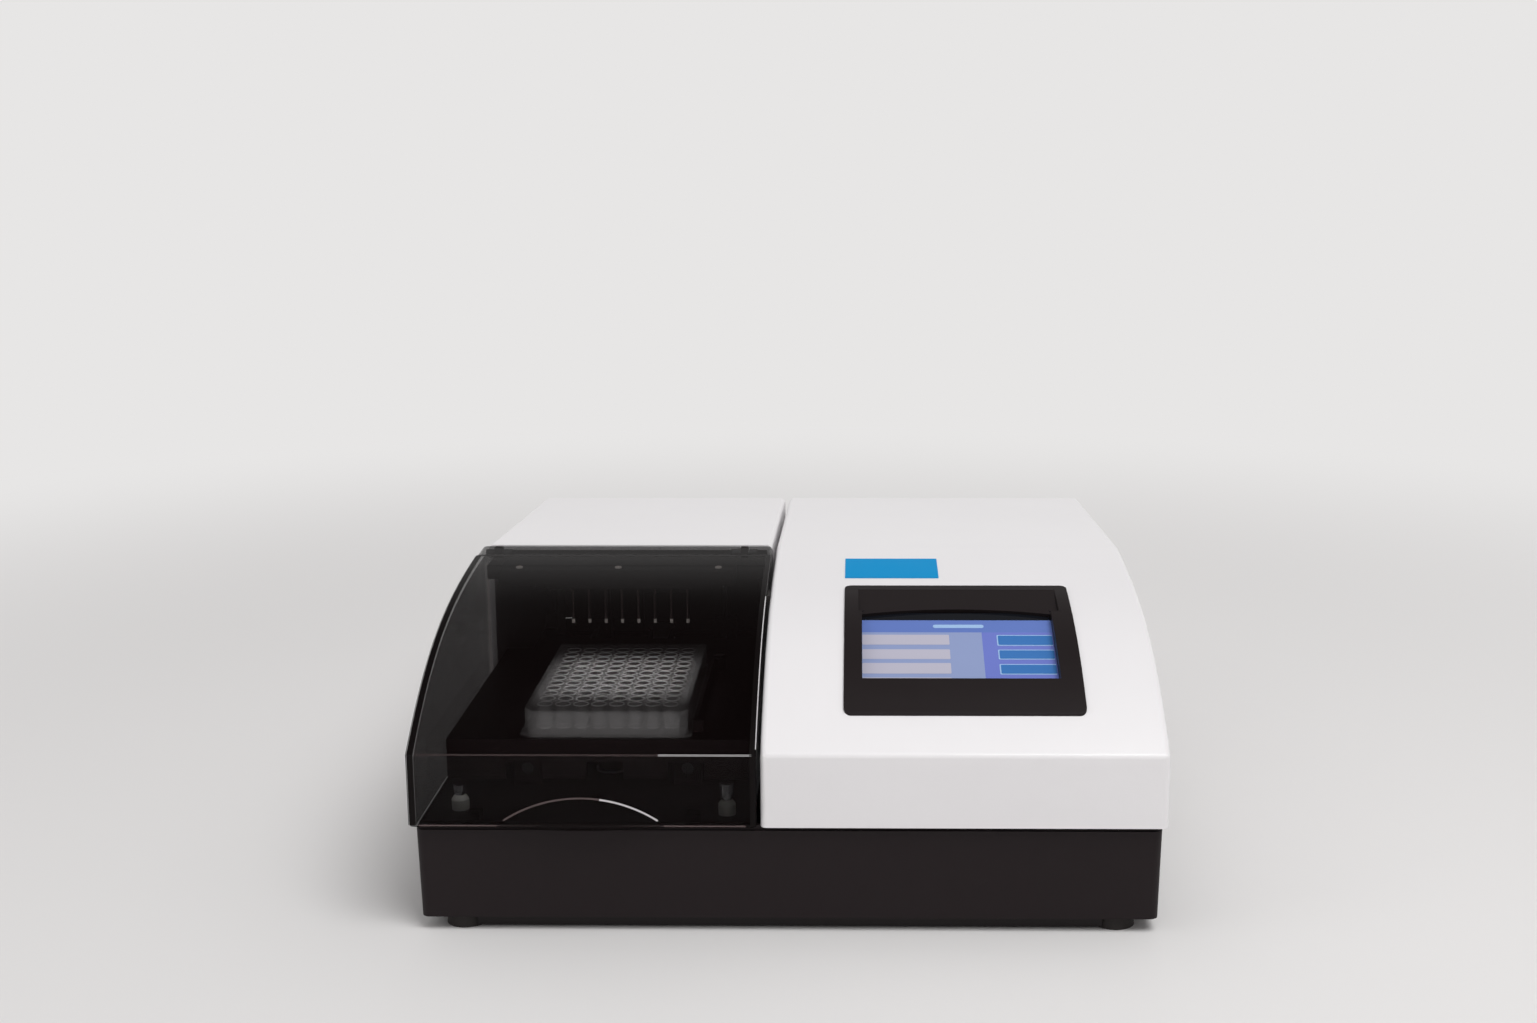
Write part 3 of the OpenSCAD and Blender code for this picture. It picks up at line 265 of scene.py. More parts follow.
def surface_variation() -> bpy.types.NodeTree:
    """The shared node group that varies colour, roughness and relief over a surface.

    Returns:
        The group, built the first time it is asked for.
    """
    name = "surface_variation"
    if name in bpy.data.node_groups:
        return bpy.data.node_groups[name]
    group = bpy.data.node_groups.new(name, "ShaderNodeTree")
    for side, labels in (("INPUT", ("Vector", "Color", "Spread", "Roughness", "Rough Spread", "Grain")),
                         ("OUTPUT", ("Color", "Roughness", "Height"))):
        for label in labels:
            kind = label if label in ("Vector", "Color") else "Float"
            group.interface.new_socket(label, in_out=side, socket_type=f"NodeSocket{kind}")
    graph = Graph(group)
    given, result = graph.nodes.new("NodeGroupInput"), graph.nodes.new("NodeGroupOutput")

    def noise(scale: float, detail: float) -> Node:
        """Adds a noise on the given vector, with a scale and a detail."""
        node = graph.add("TexNoise", {"Scale": scale, "Detail": detail})
        graph.link((given.outputs["Vector"], node.inputs["Vector"]))
        return node

    def around(factor: Node, spread: str) -> Node:
        """Varies a value about its middle, which is 1 where nothing is linked.

        Args:
            factor: the noise that varies it.
            spread: the input that holds how far it varies.

        Returns:
            The node that takes the middle as its third input and gives the varied value.
        """
        centred = graph.add("Math", {1: 0.5}, operation="SUBTRACT")
        scaled = graph.add("Math", {2: 1.0}, operation="MULTIPLY_ADD")
        graph.link((factor.outputs["Fac"], centred.inputs[0]), (centred.outputs[0], scaled.inputs[0]),
                   (given.outputs[spread], scaled.inputs[1]))
        return scaled

    clouds, smears, grain = noise(*CLOUDS), noise(*SMEARS), noise(*GRAIN)
    shade, rough = around(clouds, "Spread"), around(smears, "Rough Spread")
    tint = graph.add("VectorMath", operation="SCALE")
    graph.link((given.outputs["Grain"], grain.inputs["Scale"]), (given.outputs["Color"], tint.inputs[0]),
               (shade.outputs[0], tint.inputs["Scale"]), (given.outputs["Roughness"], rough.inputs[2]),
               (tint.outputs[0], result.inputs["Color"]), (rough.outputs[0], result.inputs["Roughness"]),
               (grain.outputs["Fac"], result.inputs["Height"]))
    return group


SMOOTH, BRUSHED = Texture.SMOOTH, Texture.BRUSHED
FINISHES: dict[str, Finish] = {f.name: f for f in (
    Finish("white_shell", (0.80, 0.785, 0.795), 0.36, coat=0.15, spread=0.03, relief=0.012),
    Finish("black_tub", (0.0125, 0.0080, 0.0090), 0.55, gloss=0.2, relief=0.05, rough_spread=0.12),
    Finish("smoked_acrylic", (0.003, 0.0015, 0.0015), 0.05, SMOOTH, alpha=0.56, gloss=0.08,
           rough_spread=0.03),
    # Painted dim highlight: reddish lines along the cover's nose, foot and finger lip.
    Finish("painted_dim_highlight", (0.13, 0.09, 0.09), 0.25, SMOOTH, alpha=0.6, spread=0.3, rough_spread=0.1),
    # Painted highlight: bright lines on the cover's nose, finger lip and right rounding.
    Finish("acrylic_glint", (0.68, 0.66, 0.67), 0.2, SMOOTH, alpha=0.85, spread=0.2, rough_spread=0.1),
    # Painted shade: near-black bands where the cover's edges and top seam look dark.
    Finish("painted_shade", (0.004, 0.0025, 0.0025), 0.35, SMOOTH, gloss=0.1, rough_spread=0.1),
    # Painted glow: a strip on the rear edge of the cover's left wall that gives light though it is no lamp.
    Finish("painted_edge_glow", (0.60, 0.54, 0.53), 0.3, SMOOTH, alpha=0.9, glow=0.7, spread=0.4),
    Finish("black_plastic", (0.010, 0.007, 0.0075), 0.45, gloss=0.25, relief=0.03),
    Finish("black_gloss", (0.0135, 0.0095, 0.0100), 0.4, gloss=0.22, relief=0.015),
    Finish("natural_plastic", (0.76, 0.75, 0.70), 0.4, spread=0.05),
    Finish("black_rubber", (0.016, 0.012, 0.011), 0.75, relief=0.05),
    Finish("bright_steel", (0.62, 0.62, 0.64), 0.25, BRUSHED, metallic=1.0, relief=0.006),
    # Chrome with a painted glow: its emission brightens the tube tips and the header screws.
    Finish("chrome_painted_glow", (0.85, 0.78, 0.74), 0.3, SMOOTH, metallic=0.6, glow=0.25, spread=0.5),
    Finish("chromed", (0.75, 0.75, 0.77), 0.12, SMOOTH, metallic=1.0, rough_spread=0.05),
    Finish("aluminium", (0.6, 0.6, 0.62), 0.36, BRUSHED, metallic=1.0, relief=0.008),
    Finish("black_aluminium", (0.016, 0.013, 0.013), 0.45, BRUSHED, gloss=0.2, relief=0.01),
    Finish("dull_steel", (0.16, 0.12, 0.12), 0.4, BRUSHED, metallic=1.0, relief=0.004),
    Finish("motor_black", (0.02, 0.02, 0.022), 0.4, relief=0.02),
    Finish("brass", (0.6, 0.42, 0.16), 0.28, BRUSHED, metallic=1.0, relief=0.006),
    Finish("clear_plastic", (0.62, 0.60, 0.60), 0.08, SMOOTH, alpha=0.22, gloss=0.9, rough_spread=0.05),
    Finish("clear_hose", (0.72, 0.72, 0.69), 0.3, SMOOTH, alpha=0.6, rough_spread=0.06),
    Finish("touch_glass", (0.006, 0.007, 0.01), 0.08, SMOOTH, rough_spread=0.03),
    Finish("display", (0.05, 0.08, 0.2), 0.3, SMOOTH),
    Finish("circuit_board", (0.012, 0.10, 0.04), 0.35, spread=0.15),
    Finish("label_blue", (0.0035, 0.26, 0.56), 0.5, gloss=0.04, spread=0.03, relief=0.005),
    Finish("picture_header", (0.12, 0.19, 0.50), 0.25, SMOOTH, gloss=0.2, spread=0.1),
    Finish("picture_panel", (0.26, 0.32, 0.53), 0.25, SMOOTH, gloss=0.2, spread=0.08),
    Finish("picture_bar", (0.46, 0.45, 0.54), 0.25, SMOOTH, gloss=0.2, spread=0.05),
    Finish("picture_column", (0.15, 0.19, 0.55), 0.25, SMOOTH, gloss=0.2, spread=0.1),
    Finish("picture_button", (0.046, 0.17, 0.45), 0.25, SMOOTH, gloss=0.2, spread=0.12),
    Finish("picture_rim", (0.33, 0.50, 0.75), 0.25, SMOOTH, gloss=0.2, spread=0.05),
    # Well floors and lips: the plate's clear plastic made paler and more opaque, a painted highlight on top
    # of their real gloss.
    Finish("well_glint", (0.90, 0.87, 0.86), 0.2, SMOOTH, alpha=0.95, gloss=1.0, spread=0.2),
    Finish("rim_painted_highlight", (0.86, 0.84, 0.84), 0.1, SMOOTH, alpha=0.55, gloss=1.0, rough_spread=0.04),
)}


class Wardrobe:
    """Builds each finish once and puts it on objects."""

    own = {"suction_tubes": "dull_steel", "supply_tubes": "dull_steel", "manifold_bar": "black_aluminium"}

    def __init__(self) -> None:
        """Starts with no material built."""
        self.built: dict[str, bpy.types.Material] = {}

    def material(self, name: str) -> bpy.types.Material:
        """The material of a finish, built the first time it is asked for."""
        if name not in self.built:
            self.built[name] = FINISHES[name].build()
        return self.built[name]

    def dress(self, piece: Piece, name: str) -> Piece:
        """Gives an object one finish.

        Args:
            piece: the object.
            name: the finish.

        Returns:
            The same object.
        """
        piece.data.materials.clear()
        piece.data.materials.append(self.material(name))
        return piece

    def dress_nodes(self) -> None:
        """Gives every CAD node its own finish, or that of its record slot."""
        for entry in frame["record"]["subparts"]:
            node = frame["nodes"][entry["node"]]
            if not node.material_slots:
                node.data.materials.append(None)
            finish = self.own.get(entry["node"], entry["material_slot"])
            for place in node.material_slots:
                place.material = self.material(finish)


class Bench:
    """Modelling steps made with Blender's own operators."""

    MERGE = 2e-6
    FLAT_ANGLE = math.radians(0.4)
    SHARP_ANGLE = math.radians(40)
    SMOOTH_ANGLE = 32.0
    FACE_WEIGHT = 60
    FINE_STEPS = 2
    WIDE_ROUNDING = 1.6 * MM
    WIDE_STEPS = 4

    @staticmethod
    def mode(name: str) -> None:
        """Goes to EDIT or OBJECT mode."""
        bpy.ops.object.mode_set(mode=name)

    @classmethod
    def clear(cls) -> None:
        """Leaves nothing selected, in object mode."""
        if bpy.context.object and bpy.context.object.mode != "OBJECT":
            cls.mode("OBJECT")
        bpy.ops.object.select_all(action="DESELECT")

    @classmethod
    def pick(cls, piece: Piece) -> None:
        """Makes one object the selected and active one."""
        cls.clear()
        piece.select_set(True)
        bpy.context.view_layer.objects.active = piece

    @classmethod
    def block(cls, name: str, low: Vector, high: Vector) -> Piece:
        """A box between two corners.

        Args:
            name: its name.
            low: lowest corner.
            high: highest corner.

        Returns:
            The new object.
        """
        cls.clear()
        bpy.ops.mesh.primitive_cube_add(size=1, location=(low + high) / 2)
        piece = bpy.context.object
        piece.name = name
        piece.scale = high - low
        cls.settle(piece)
        return piece

    @classmethod
    def drum(cls, name: str, foot: Vector, radius: float, height: float, sides: int = 48) -> Piece:
        """An upright cylinder.

        Args:
            name: its name.
            foot: middle of its lower face.
            radius: radius in metres.
            height: height in metres.
            sides: number of side faces.

        Returns:
            The new object.
        """
        cls.clear()
        middle = foot + Vector((0, 0, height / 2))
        bpy.ops.mesh.primitive_cylinder_add(vertices=sides, radius=radius, depth=height, location=middle)
        piece = bpy.context.object
        piece.name = name
        cls.settle(piece)
        return piece

    @classmethod
    def settle(cls, piece: Piece) -> None:
        """Moves an object's place, turn and scale into its mesh."""
        cls.pick(piece)
        bpy.ops.object.transform_apply(location=True, rotation=True, scale=True)

    @classmethod
    def edit(cls, piece: Piece, chosen: Test, step: Callable[[], None], kind: str = "FACE") -> None:
        """Runs an edit-mode step on the faces or edges that a test picks.

        Args:
            piece: the object.
            chosen: says whether a face or edge is selected.
            step: the operators to run on the selection.
            kind: FACE or EDGE.
        """
        cls.pick(piece)
        cls.mode("EDIT")
        bpy.ops.mesh.select_mode(type=kind)
        bpy.ops.mesh.select_all(action="DESELECT")
        mesh = bmesh.from_edit_mesh(piece.data)
        for element in mesh.faces if kind == "FACE" else mesh.edges:
            element.select_set(chosen(element))
        bmesh.update_edit_mesh(piece.data)
        step()
        cls.mode("OBJECT")

    @classmethod
    def round_edges(cls, piece: Piece, chosen: Test, width: float, segments: int, kind: str = "EDGE") -> None:
        """Rounds the edges that a test picks, or those around the faces that it picks.

        Args:
            piece: the object.
            chosen: says whether an edge or face is picked.
            width: width of the rounding in metres.
            segments: steps of the rounding.
            kind: EDGE or FACE.
        """
        cls.edit(piece, chosen, lambda: bpy.ops.mesh.bevel(offset=width, segments=segments), kind)

    @classmethod
    def modify(cls, piece: Piece, kind: str, **values: object) -> None:
        """Adds a modifier with the given values and applies it.

        Args:
            piece: the object.
            kind: the modifier's type.
            **values: its settings.
        """
        cls.pick(piece)
        bpy.ops.object.modifier_add(type=kind)
        modifier = piece.modifiers[-1]
        for key, value in values.items():
            setattr(modifier, key, value)
        bpy.ops.object.modifier_apply(modifier=modifier.name)

    @classmethod
    def smooth(cls, piece: Piece, angle: float = SMOOTH_ANGLE) -> None:
        """Shades a piece smooth, with edges sharper than the angle left sharp."""
        cls.pick(piece)
        bpy.ops.object.shade_smooth_by_angle(angle=math.radians(angle))

    @classmethod
    def merged_copy(cls, node: str, name: str, edge: float = 0.0, wide: Test | None = None) -> Piece:
        """A clean copy of a CAD node, with shared vertices and smooth curves.

        Args:
            node: the CAD node.
            name: the new piece's name.
            edge: width of a small rounding on its sharp edges, in metres, or 0.
            wide: says which edges get a wide rounding first, where any do.

        Returns:
            The copy.
        """
        source = frame["nodes"][node]
        piece = bpy.data.objects.new(name, source.data.copy())
        bpy.context.scene.collection.objects.link(piece)
        piece.matrix_world = source.matrix_world
        cls.settle(piece)
        cls.mode("EDIT")
        bpy.ops.mesh.select_all(action="SELECT")
        bpy.ops.mesh.remove_doubles(threshold=cls.MERGE)
        bpy.ops.mesh.dissolve_limited(angle_limit=cls.FLAT_ANGLE)
        cls.mode("OBJECT")
        if wide:
            cls.round_edges(piece, wide, cls.WIDE_ROUNDING, cls.WIDE_STEPS)
        if edge:
            cls.modify(piece, "BEVEL", width=edge, segments=cls.FINE_STEPS, limit_method="ANGLE",
                       angle_limit=cls.SHARP_ANGLE, use_clamp_overlap=True)
        cls.smooth(piece)
        cls.modify(piece, "WEIGHTED_NORMAL", keep_sharp=True, weight=cls.FACE_WEIGHT)
        return piece

    @classmethod
    def twin(cls, piece: Piece, name: str, shift: Vector) -> Piece:
        """A moved copy of a piece, with its own mesh.

        Args:
            piece: what is copied.
            name: the copy's name.
            shift: how far it is moved.

        Returns:
            The copy.
        """
        other = piece.copy()
        other.data = piece.data.copy()
        other.name = name
        bpy.context.scene.collection.objects.link(other)
        other.location = shift
        cls.settle(other)
        return other

    @classmethod
    def join(cls, pieces: Sequence[Piece], name: str) -> Piece:
        """Joins pieces into one object.

        Args:
            pieces: what is joined.
            name: the name of the result.

        Returns:
            The joined object.
        """
        cls.clear()
        for piece in pieces:
            piece.select_set(True)
        bpy.context.view_layer.objects.active = pieces[0]
        bpy.ops.object.join()
        pieces[0].name = name
        return pieces[0]

    @classmethod
    def repeat(cls, model: Piece, name: str, places: Sequence[Vector]) -> Piece:
        """Copies a piece to many places and joins the copies.

        Args:
            model: what is copied; it stays as it is.
            name: the name of the result.
            places: how far each copy is moved.

        Returns:
            The joined object.
        """
        return cls.join([cls.twin(model, f"{name}_{k}", place) for k, place in enumerate(places)], name)


@dataclass
class Assembly:
    """What every sub-assembly shares: the finishes and the way a piece is handed over."""

    wardrobe: Wardrobe

    def hand_over(self, piece: Piece, body: str, slot: str, replaces: Sequence[str] = (),
                  finish: str | None = None) -> None:
        """Dresses a finished piece and puts it on its body.

        Args:
            piece: the finished piece.
            body: the CAD body that it rides on.
            slot: the record's material slot.
            replaces: CAD nodes that it stands for.
            finish: its finish, where that isn't the slot's own.
        """
        self.wardrobe.dress(piece, finish or slot)
        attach(piece, body)
        if replaces:
            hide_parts(*replaces)
        LOG.info("%s rides on %s", piece.name, body)


@dataclass
class Shells(Assembly):
    """The moulded housings, the tub, the smoked cover and other smooth copies of their solids."""

    edge: float = 0.25 * MM
    reach: float = 0.3 * MM
    parts: tuple[tuple[str, str, str], ...] = (
        ("right_housing", "base", "white_shell"),
        ("rear_cover", "base", "white_shell"),
        ("base_tub", "base", "black_tub"),
        ("mist_cover", "mist_cover", "smoked_acrylic"),
        ("header_panel", "base", "black_plastic"),
        ("screen_bezel", "base", "black_gloss"),
        ("carrier_tray", "carrier", "black_plastic"),
    )

    def on_nose(self, edge: Element) -> bool:
        """Whether an edge lies along the nose of the arch."""
        nose = at(0, 0, Arch.NOSE[1])
        return all(abs(v.co[k] - nose[k]) < self.reach for v in edge.verts for k in (1, 2))

    def build(self) -> None:
        """Makes the clean copies, the right housing's with a wider rounding at its nose."""
        for node, body, slot in self.parts:
            wide = self.on_nose if node == "right_housing" else None
            piece = Bench.merged_copy(node, f"{node}_skin", self.edge, wide)
            self.hand_over(piece, body, slot, [node])


@dataclass
class CoverEdges(Assembly):
    """Thin strips on the smoked cover's edges: painted highlights, painted shade and a painted glow.

    Sizes are in millimetres. Starts and ends up the front are shares: -1 at the foot, 0 at the nose and 1 at
    the top of the arch.
    """

    left: float = -178.0
    right: float = -14.6
    foot: float = 53.8
    nose: float = 89.3
    rear: float = 195.3
    top: float = 0.93
    nose_gap: float = 0.4
    foot_gap: float = 1.2
    first_y: float = 0.6
    rounding: float = 0.88
    lift: float = 0.03
    thickness: float = 0.04
    path_steps: int = 40
    level_steps: int = 6
    lip_steps: int = 16
    left_band: float = 2.976
    right_band: float = 2.4
    band_inset: float = 0.6
    top_inset: float = 1.5
    glint_start: float = 0.02
    glint_end: float = 0.72
    nose_split: float = -60.0
    nose_y: float = 0.12
    nose_drop: float = 0.1
    nose_tilt: Point = (0.0, -1.0, 0.4)
    nose_insets: Pair = (4.0, 2.0)
    foot_rise: float = 0.8
    foot_inset: float = 5.0
    lip_middle: Point = (-97.0, 0.0, 2.6)
    lip_radius: float = 65.5
    lip_reach: float = 33.6
    lip_split: float = 8.0
    wall_inset: float = 2.2
    wall_heights: tuple[int, ...] = tuple(range(56, 137, 8))

    def strip(self, name: str, steps: Steps, width: float, finish: str) -> None:
        """A narrow strip laid on the cover.

        Args:
            name: its name.
            steps: for each step, a point on the surface, the direction across and the outward normal.
            width: its width in millimetres.
            finish: its finish.
        """
        Bench.clear()
        last = len(steps) - 1
        bpy.ops.mesh.primitive_grid_add(x_subdivisions=1, y_subdivisions=last, size=1)
        piece = bpy.context.object
        piece.name = name
        for vertex in piece.data.vertices:
            middle, across, out = steps[round((vertex.co.y + 0.5) * last)]
            side = width * MM if vertex.co.x > 0 else -width * MM
            vertex.co = middle + across * side / 2 + out * self.lift * MM
        Bench.modify(piece, "SOLIDIFY", thickness=self.thickness * MM, offset=0.0)
        Bench.smooth(piece)
        self.hand_over(piece, "mist_cover", "smoked_acrylic", finish=finish)

    def path(self, x: float, first: float = -1.0, last: float = 1.0) -> list[tuple[Vector, Vector]]:
        """Points and outward normals up the front wall and over the arch.

        Args:
            x: where the path runs.
            first: its start.
            last: its end.

        Returns:
            Pairs of point and normal.
        """
        steps = []
        for k in range(self.path_steps + 1):
            share = first + (last - first) * k / self.path_steps
            if share < 0:
                height = self.nose - self.nose_gap + (self.nose - self.foot - self.foot_gap) * share
                steps.append((at(x, 0.0, height), FORWARD))
            else:
                y, z = Arch.point(self.top * share)
                steps.append((at(x, y, z), Arch.normal(max(y, self.first_y))))
        return steps

    def rounded(self, x: float, way: float, first: float, last: float) -> Steps:
        """Steps along the rounding between the arch and a side wall.

        Args:
            x: where the side wall stands.
            way: 1 where that wall faces right, -1 where it faces left.
            first: their start.
            last: their end.

        Returns:
            The steps.
        """
        steps = []
        for point, out in self.path(x - way * self.rounding, first, last):
            corner = (ACROSS * way + out).normalized()
            middle = point - out * self.rounding * MM + corner * self.rounding * MM
            steps.append((middle, (ACROSS - out * way).normalized(), corner))
        return steps

    def flat(self, x: float) -> Steps:
        """Steps on the front sheet at x, parallel to its side edges."""
        return [(point, ACROSS, out) for point, out in self.path(x)]

    def level(self, left: float, right: float, y: float, z: float, out: Vector = FORWARD) -> Steps:
        """Steps from left to right at y and z, with the given outward normal."""
        count = self.level_steps
        xs = [left + (right - left) * k / count for k in range(count + 1)]
        return [(at(x, y, z), out.cross(ACROSS), out) for x in xs]

    def lip(self, first: float, last: float) -> Steps:
        """Steps along the bright arch over the finger lip.

        Args:
            first: angle of their start from upright, in degrees.
            last: angle of their end.

        Returns:
            The steps.
        """
        steps = []
        for k in range(self.lip_steps + 1):
            angle = math.radians(first + (last - first) * k / self.lip_steps)
            up = Vector((math.sin(angle), 0.0, math.cos(angle)))
            steps.append((at(*self.lip_middle) + up * self.lip_radius * MM, up, FORWARD))
        return steps

    def build(self) -> None:
        """Lays the strips along the sides, the top, the nose, the foot, the finger lip and the rear wall."""
        left, right, start, end = self.left, self.right, self.glint_start, self.glint_end
        band_left = self.flat(left + self.band_inset + self.left_band / 2)
        band_right = self.flat(right - self.band_inset - self.right_band / 2)
        y, z = Arch.point(self.top)
        band_top = self.level(left + self.top_inset, right - self.top_inset, y, z, Arch.normal(y))
        nose = (self.nose_y, self.nose - self.nose_drop, Vector(self.nose_tilt).normalized())
        nose_edge = self.level(left + self.nose_insets[0], self.nose_split, *nose)
        nose_glint = self.level(self.nose_split, right - self.nose_insets[1], *nose)
        foot = (left + self.foot_inset, right - self.foot_inset, 0.0, self.foot + self.foot_rise)
        wall = [(at(left + self.wall_inset, self.rear, z), ACROSS, FORWARD) for z in self.wall_heights]
        # The finishes paint shade, highlights or glow on the cover's edges.
        for name, steps, width, finish in (
            ("edge_left", self.rounded(left, -1.0, -1.0, 1.0), 0.6, "painted_shade"),
            ("band_left", band_left, self.left_band, "painted_shade"),
            ("edge_right_low", self.rounded(right, 1.0, -1.0, start), 0.6, "painted_shade"),
            ("edge_right", self.rounded(right, 1.0, start, end), 0.6, "acrylic_glint"),
            ("edge_right_top", self.rounded(right, 1.0, end, 1.0), 0.6, "painted_shade"),
            ("band_right", band_right, self.right_band, "painted_shade"),
            ("band_top", band_top, 2.6, "painted_shade"),
            ("nose_edge", nose_edge, 0.7, "painted_dim_highlight"),
            ("nose_glint", nose_glint, 0.8, "acrylic_glint"),
            ("lower_edge", self.level(*foot), 0.7, "painted_dim_highlight"),
            ("lip_edge", self.lip(-self.lip_reach, self.lip_split), 0.9, "painted_dim_highlight"),
            ("lip_glint", self.lip(self.lip_split, self.lip_reach), 0.9, "acrylic_glint"),
            ("wall_edge", wall, 1.1, "painted_edge_glow"),
        ):
            self.strip(name, steps, width, finish)


@dataclass
class Plate(Assembly):
    """The clear plate with its wells."""

    front_y: float = 53.0
    first_line: float = 14.38
    lip_z: float = 93.13
    floor_z: float = 81.7
    well_radius: float = 3.65
    lip: float = 0.22
    ring_sides: tuple[int, int] = (24, 8)
    ring_angle: float = 60.0

    def well(self, column: int, line: int, z: float) -> Vector:
        """Middle of a well at height z, in metres."""
        return at(line_x(column), self.front_y + self.first_line + line * PITCH, z)

    def build(self) -> None:
        """Makes the smooth plate, the rounded lips of its wells and the floors of the front ones, with
        painted highlights.
        """
        plate = Bench.merged_copy("microplate", "plate_skin")
        self.hand_over(plate, "carrier", "clear_plastic", ["microplate"])
        Bench.clear()
        around, through = self.ring_sides
        bpy.ops.mesh.primitive_torus_add(major_radius=self.well_radius * MM, minor_radius=self.lip * MM,
                                         major_segments=around, minor_segments=through)
        ring = bpy.context.object
        Bench.smooth(ring, self.ring_angle)
        floors = [self.well(column, 0, self.floor_z) for column in range(LINES_ACROSS)]
        lips = [self.well(column, line, self.lip_z) for column in range(LINES_ACROSS)
                for line in range(LINES_BACK)]
        for name, places, finish in (("well_floors", floors, "well_glint"), ("well_lips", lips, "rim_painted_highlight")):
            self.hand_over(Bench.repeat(ring, name, places), "carrier", "clear_plastic", finish=finish)
        bpy.data.objects.remove(ring)


@dataclass
class TubeTips(Assembly):
    """The polished tips of the long tubes, made brighter by a painted glow in their chrome finish."""

    y: float = 166.4
    foot: float = 108.8
    radius: float = 0.84
    length: float = 2.3
    rim: float = 0.15
    sides: int = 20

    def build(self) -> None:
        """Makes one tip with a rounded rim and copies it."""
        tip = Bench.drum("tip", ORIGIN, self.radius * MM, self.length * MM, self.sides)
        Bench.round_edges(tip, lambda f: f.normal.z < -STEEP, self.rim * MM, 2, "FACE")
        Bench.smooth(tip)
        tips = Bench.repeat(tip, "tube_tips", [at(line_x(k), self.y, self.foot) for k in range(LINES_ACROSS)])
        bpy.data.objects.remove(tip)
        self.hand_over(tips, "manifold", "bright_steel", finish="chrome_painted_glow")


@dataclass
class TouchScreen(Assembly):
    """The picture on the display: plain bars and buttons without lettering.

    Edges are in millimetres from the middle of the display, rows as lower and upper edge.
    """

    tilt: float = 21.0
    middle: Point = (82.6, 65.6, 120.3)
    layer: float = 0.06
    thickness: float = 0.05
    clearance: float = 0.02
    corner: float = 0.6
    corner_steps: int = 4
    rim: float = 0.6
    header: Box = (-47.7, 16.9, 47.7, 27.2)
    panel: Box = (-47.7, -26.9, 12.2, 16.9)
    column: Box = (12.2, -26.9, 47.7, 16.9)
    title: Box = (-12.0, 20.6, 13.5, 23.4)
    title_corner: float = 1.2
    bar_ends: Pair = (-47.6, -4.2)
    bar_rows: tuple[Pair, ...] = ((6.5, 14.8), (-5.4, 2.6), (-17.1, -8.6), (-26.8, -20.3))
    button_ends: Pair = (19.5, 47.2)
    button_rows: tuple[Pair, ...] = ((5.7, 14.6), (-5.6, 2.4), (-17.7, -9.4), (-26.8, -21.0))

    def plate(self, name: str, finish: str, box: Box, level: int, corner: float) -> None:
        """One flat field of the picture.

        Args:
            name: its name.
            finish: its finish.
            box: left, lower, right and upper edge on the display.
            level: how many layers it lies above the glass.
            corner: radius of its corners.
        """
        left, lower, right, upper = box
        low = self.layer * level + self.clearance
        piece = Bench.block(name, Vector((left, lower, low)) * MM,
                            Vector((right, upper, low + self.thickness)) * MM)
        if corner:
            Bench.round_edges(piece, lambda e: abs(e.verts[0].co.z - e.verts[1].co.z) > Bench.MERGE,
                              corner * MM, self.corner_steps)
        turn = Euler((math.radians(self.tilt), 0, 0)).to_matrix().to_4x4()
        piece.matrix_world = Matrix.Translation(at(*self.middle)) @ turn
        Bench.settle(piece)
        Bench.smooth(piece)
        self.hand_over(piece, "base", "display", finish=finish)

    def build(self) -> None:
        """Lays out the picture."""
        for name in ("header", "panel", "column"):
            self.plate(f"picture_{name}", f"picture_{name}", getattr(self, name), 1, 0.0)
        self.plate("picture_title", "picture_rim", self.title, 2, self.title_corner)
        left, right = self.bar_ends
        for k, (lower, upper) in enumerate(self.bar_rows):
            self.plate(f"picture_bar_{k}", "picture_bar", (left, lower, right, upper), 2, self.corner)
        left, right = self.button_ends
        for k, (lower, upper) in enumerate(self.button_rows):
            self.plate(f"picture_outline_{k}", "picture_rim", (left, lower, right, upper), 2, self.corner)
            inner = (left + self.rim, lower + self.rim, right, upper - self.rim)
            self.plate(f"picture_button_{k}", "picture_button", inner, 3, self.corner)


@dataclass
class LabelPlate(Assembly):
    """The bare blue plate on the arch above the screen."""

    left: float = 26.0
    right: float = 75.5
    front: float = 136.3
    rear: float = 168.0
    thickness: float = 0.35
    clearance: float = 0.02
    steps: tuple[int, int] = (4, 24)

    def build(self) -> None:
        """Bends a thin plate over the arch."""
        Bench.clear()
        bpy.ops.mesh.primitive_grid_add(x_subdivisions=self.steps[0], y_subdivisions=self.steps[1], size=1)
        piece = bpy.context.object
        piece.name = "label_plate"
        for vertex in piece.data.vertices:
            x = self.left + (vertex.co.x + 0.5) * (self.right - self.left)
            y = self.front + (vertex.co.y + 0.5) * (self.rear - self.front)
            vertex.co = at(x, y, Arch.height(y)) + Arch.normal(y) * self.clearance * MM
        Bench.modify(piece, "SOLIDIFY", thickness=self.thickness * MM, offset=1.0)
        Bench.smooth(piece)
        self.hand_over(piece, "base", "display", finish="label_blue")


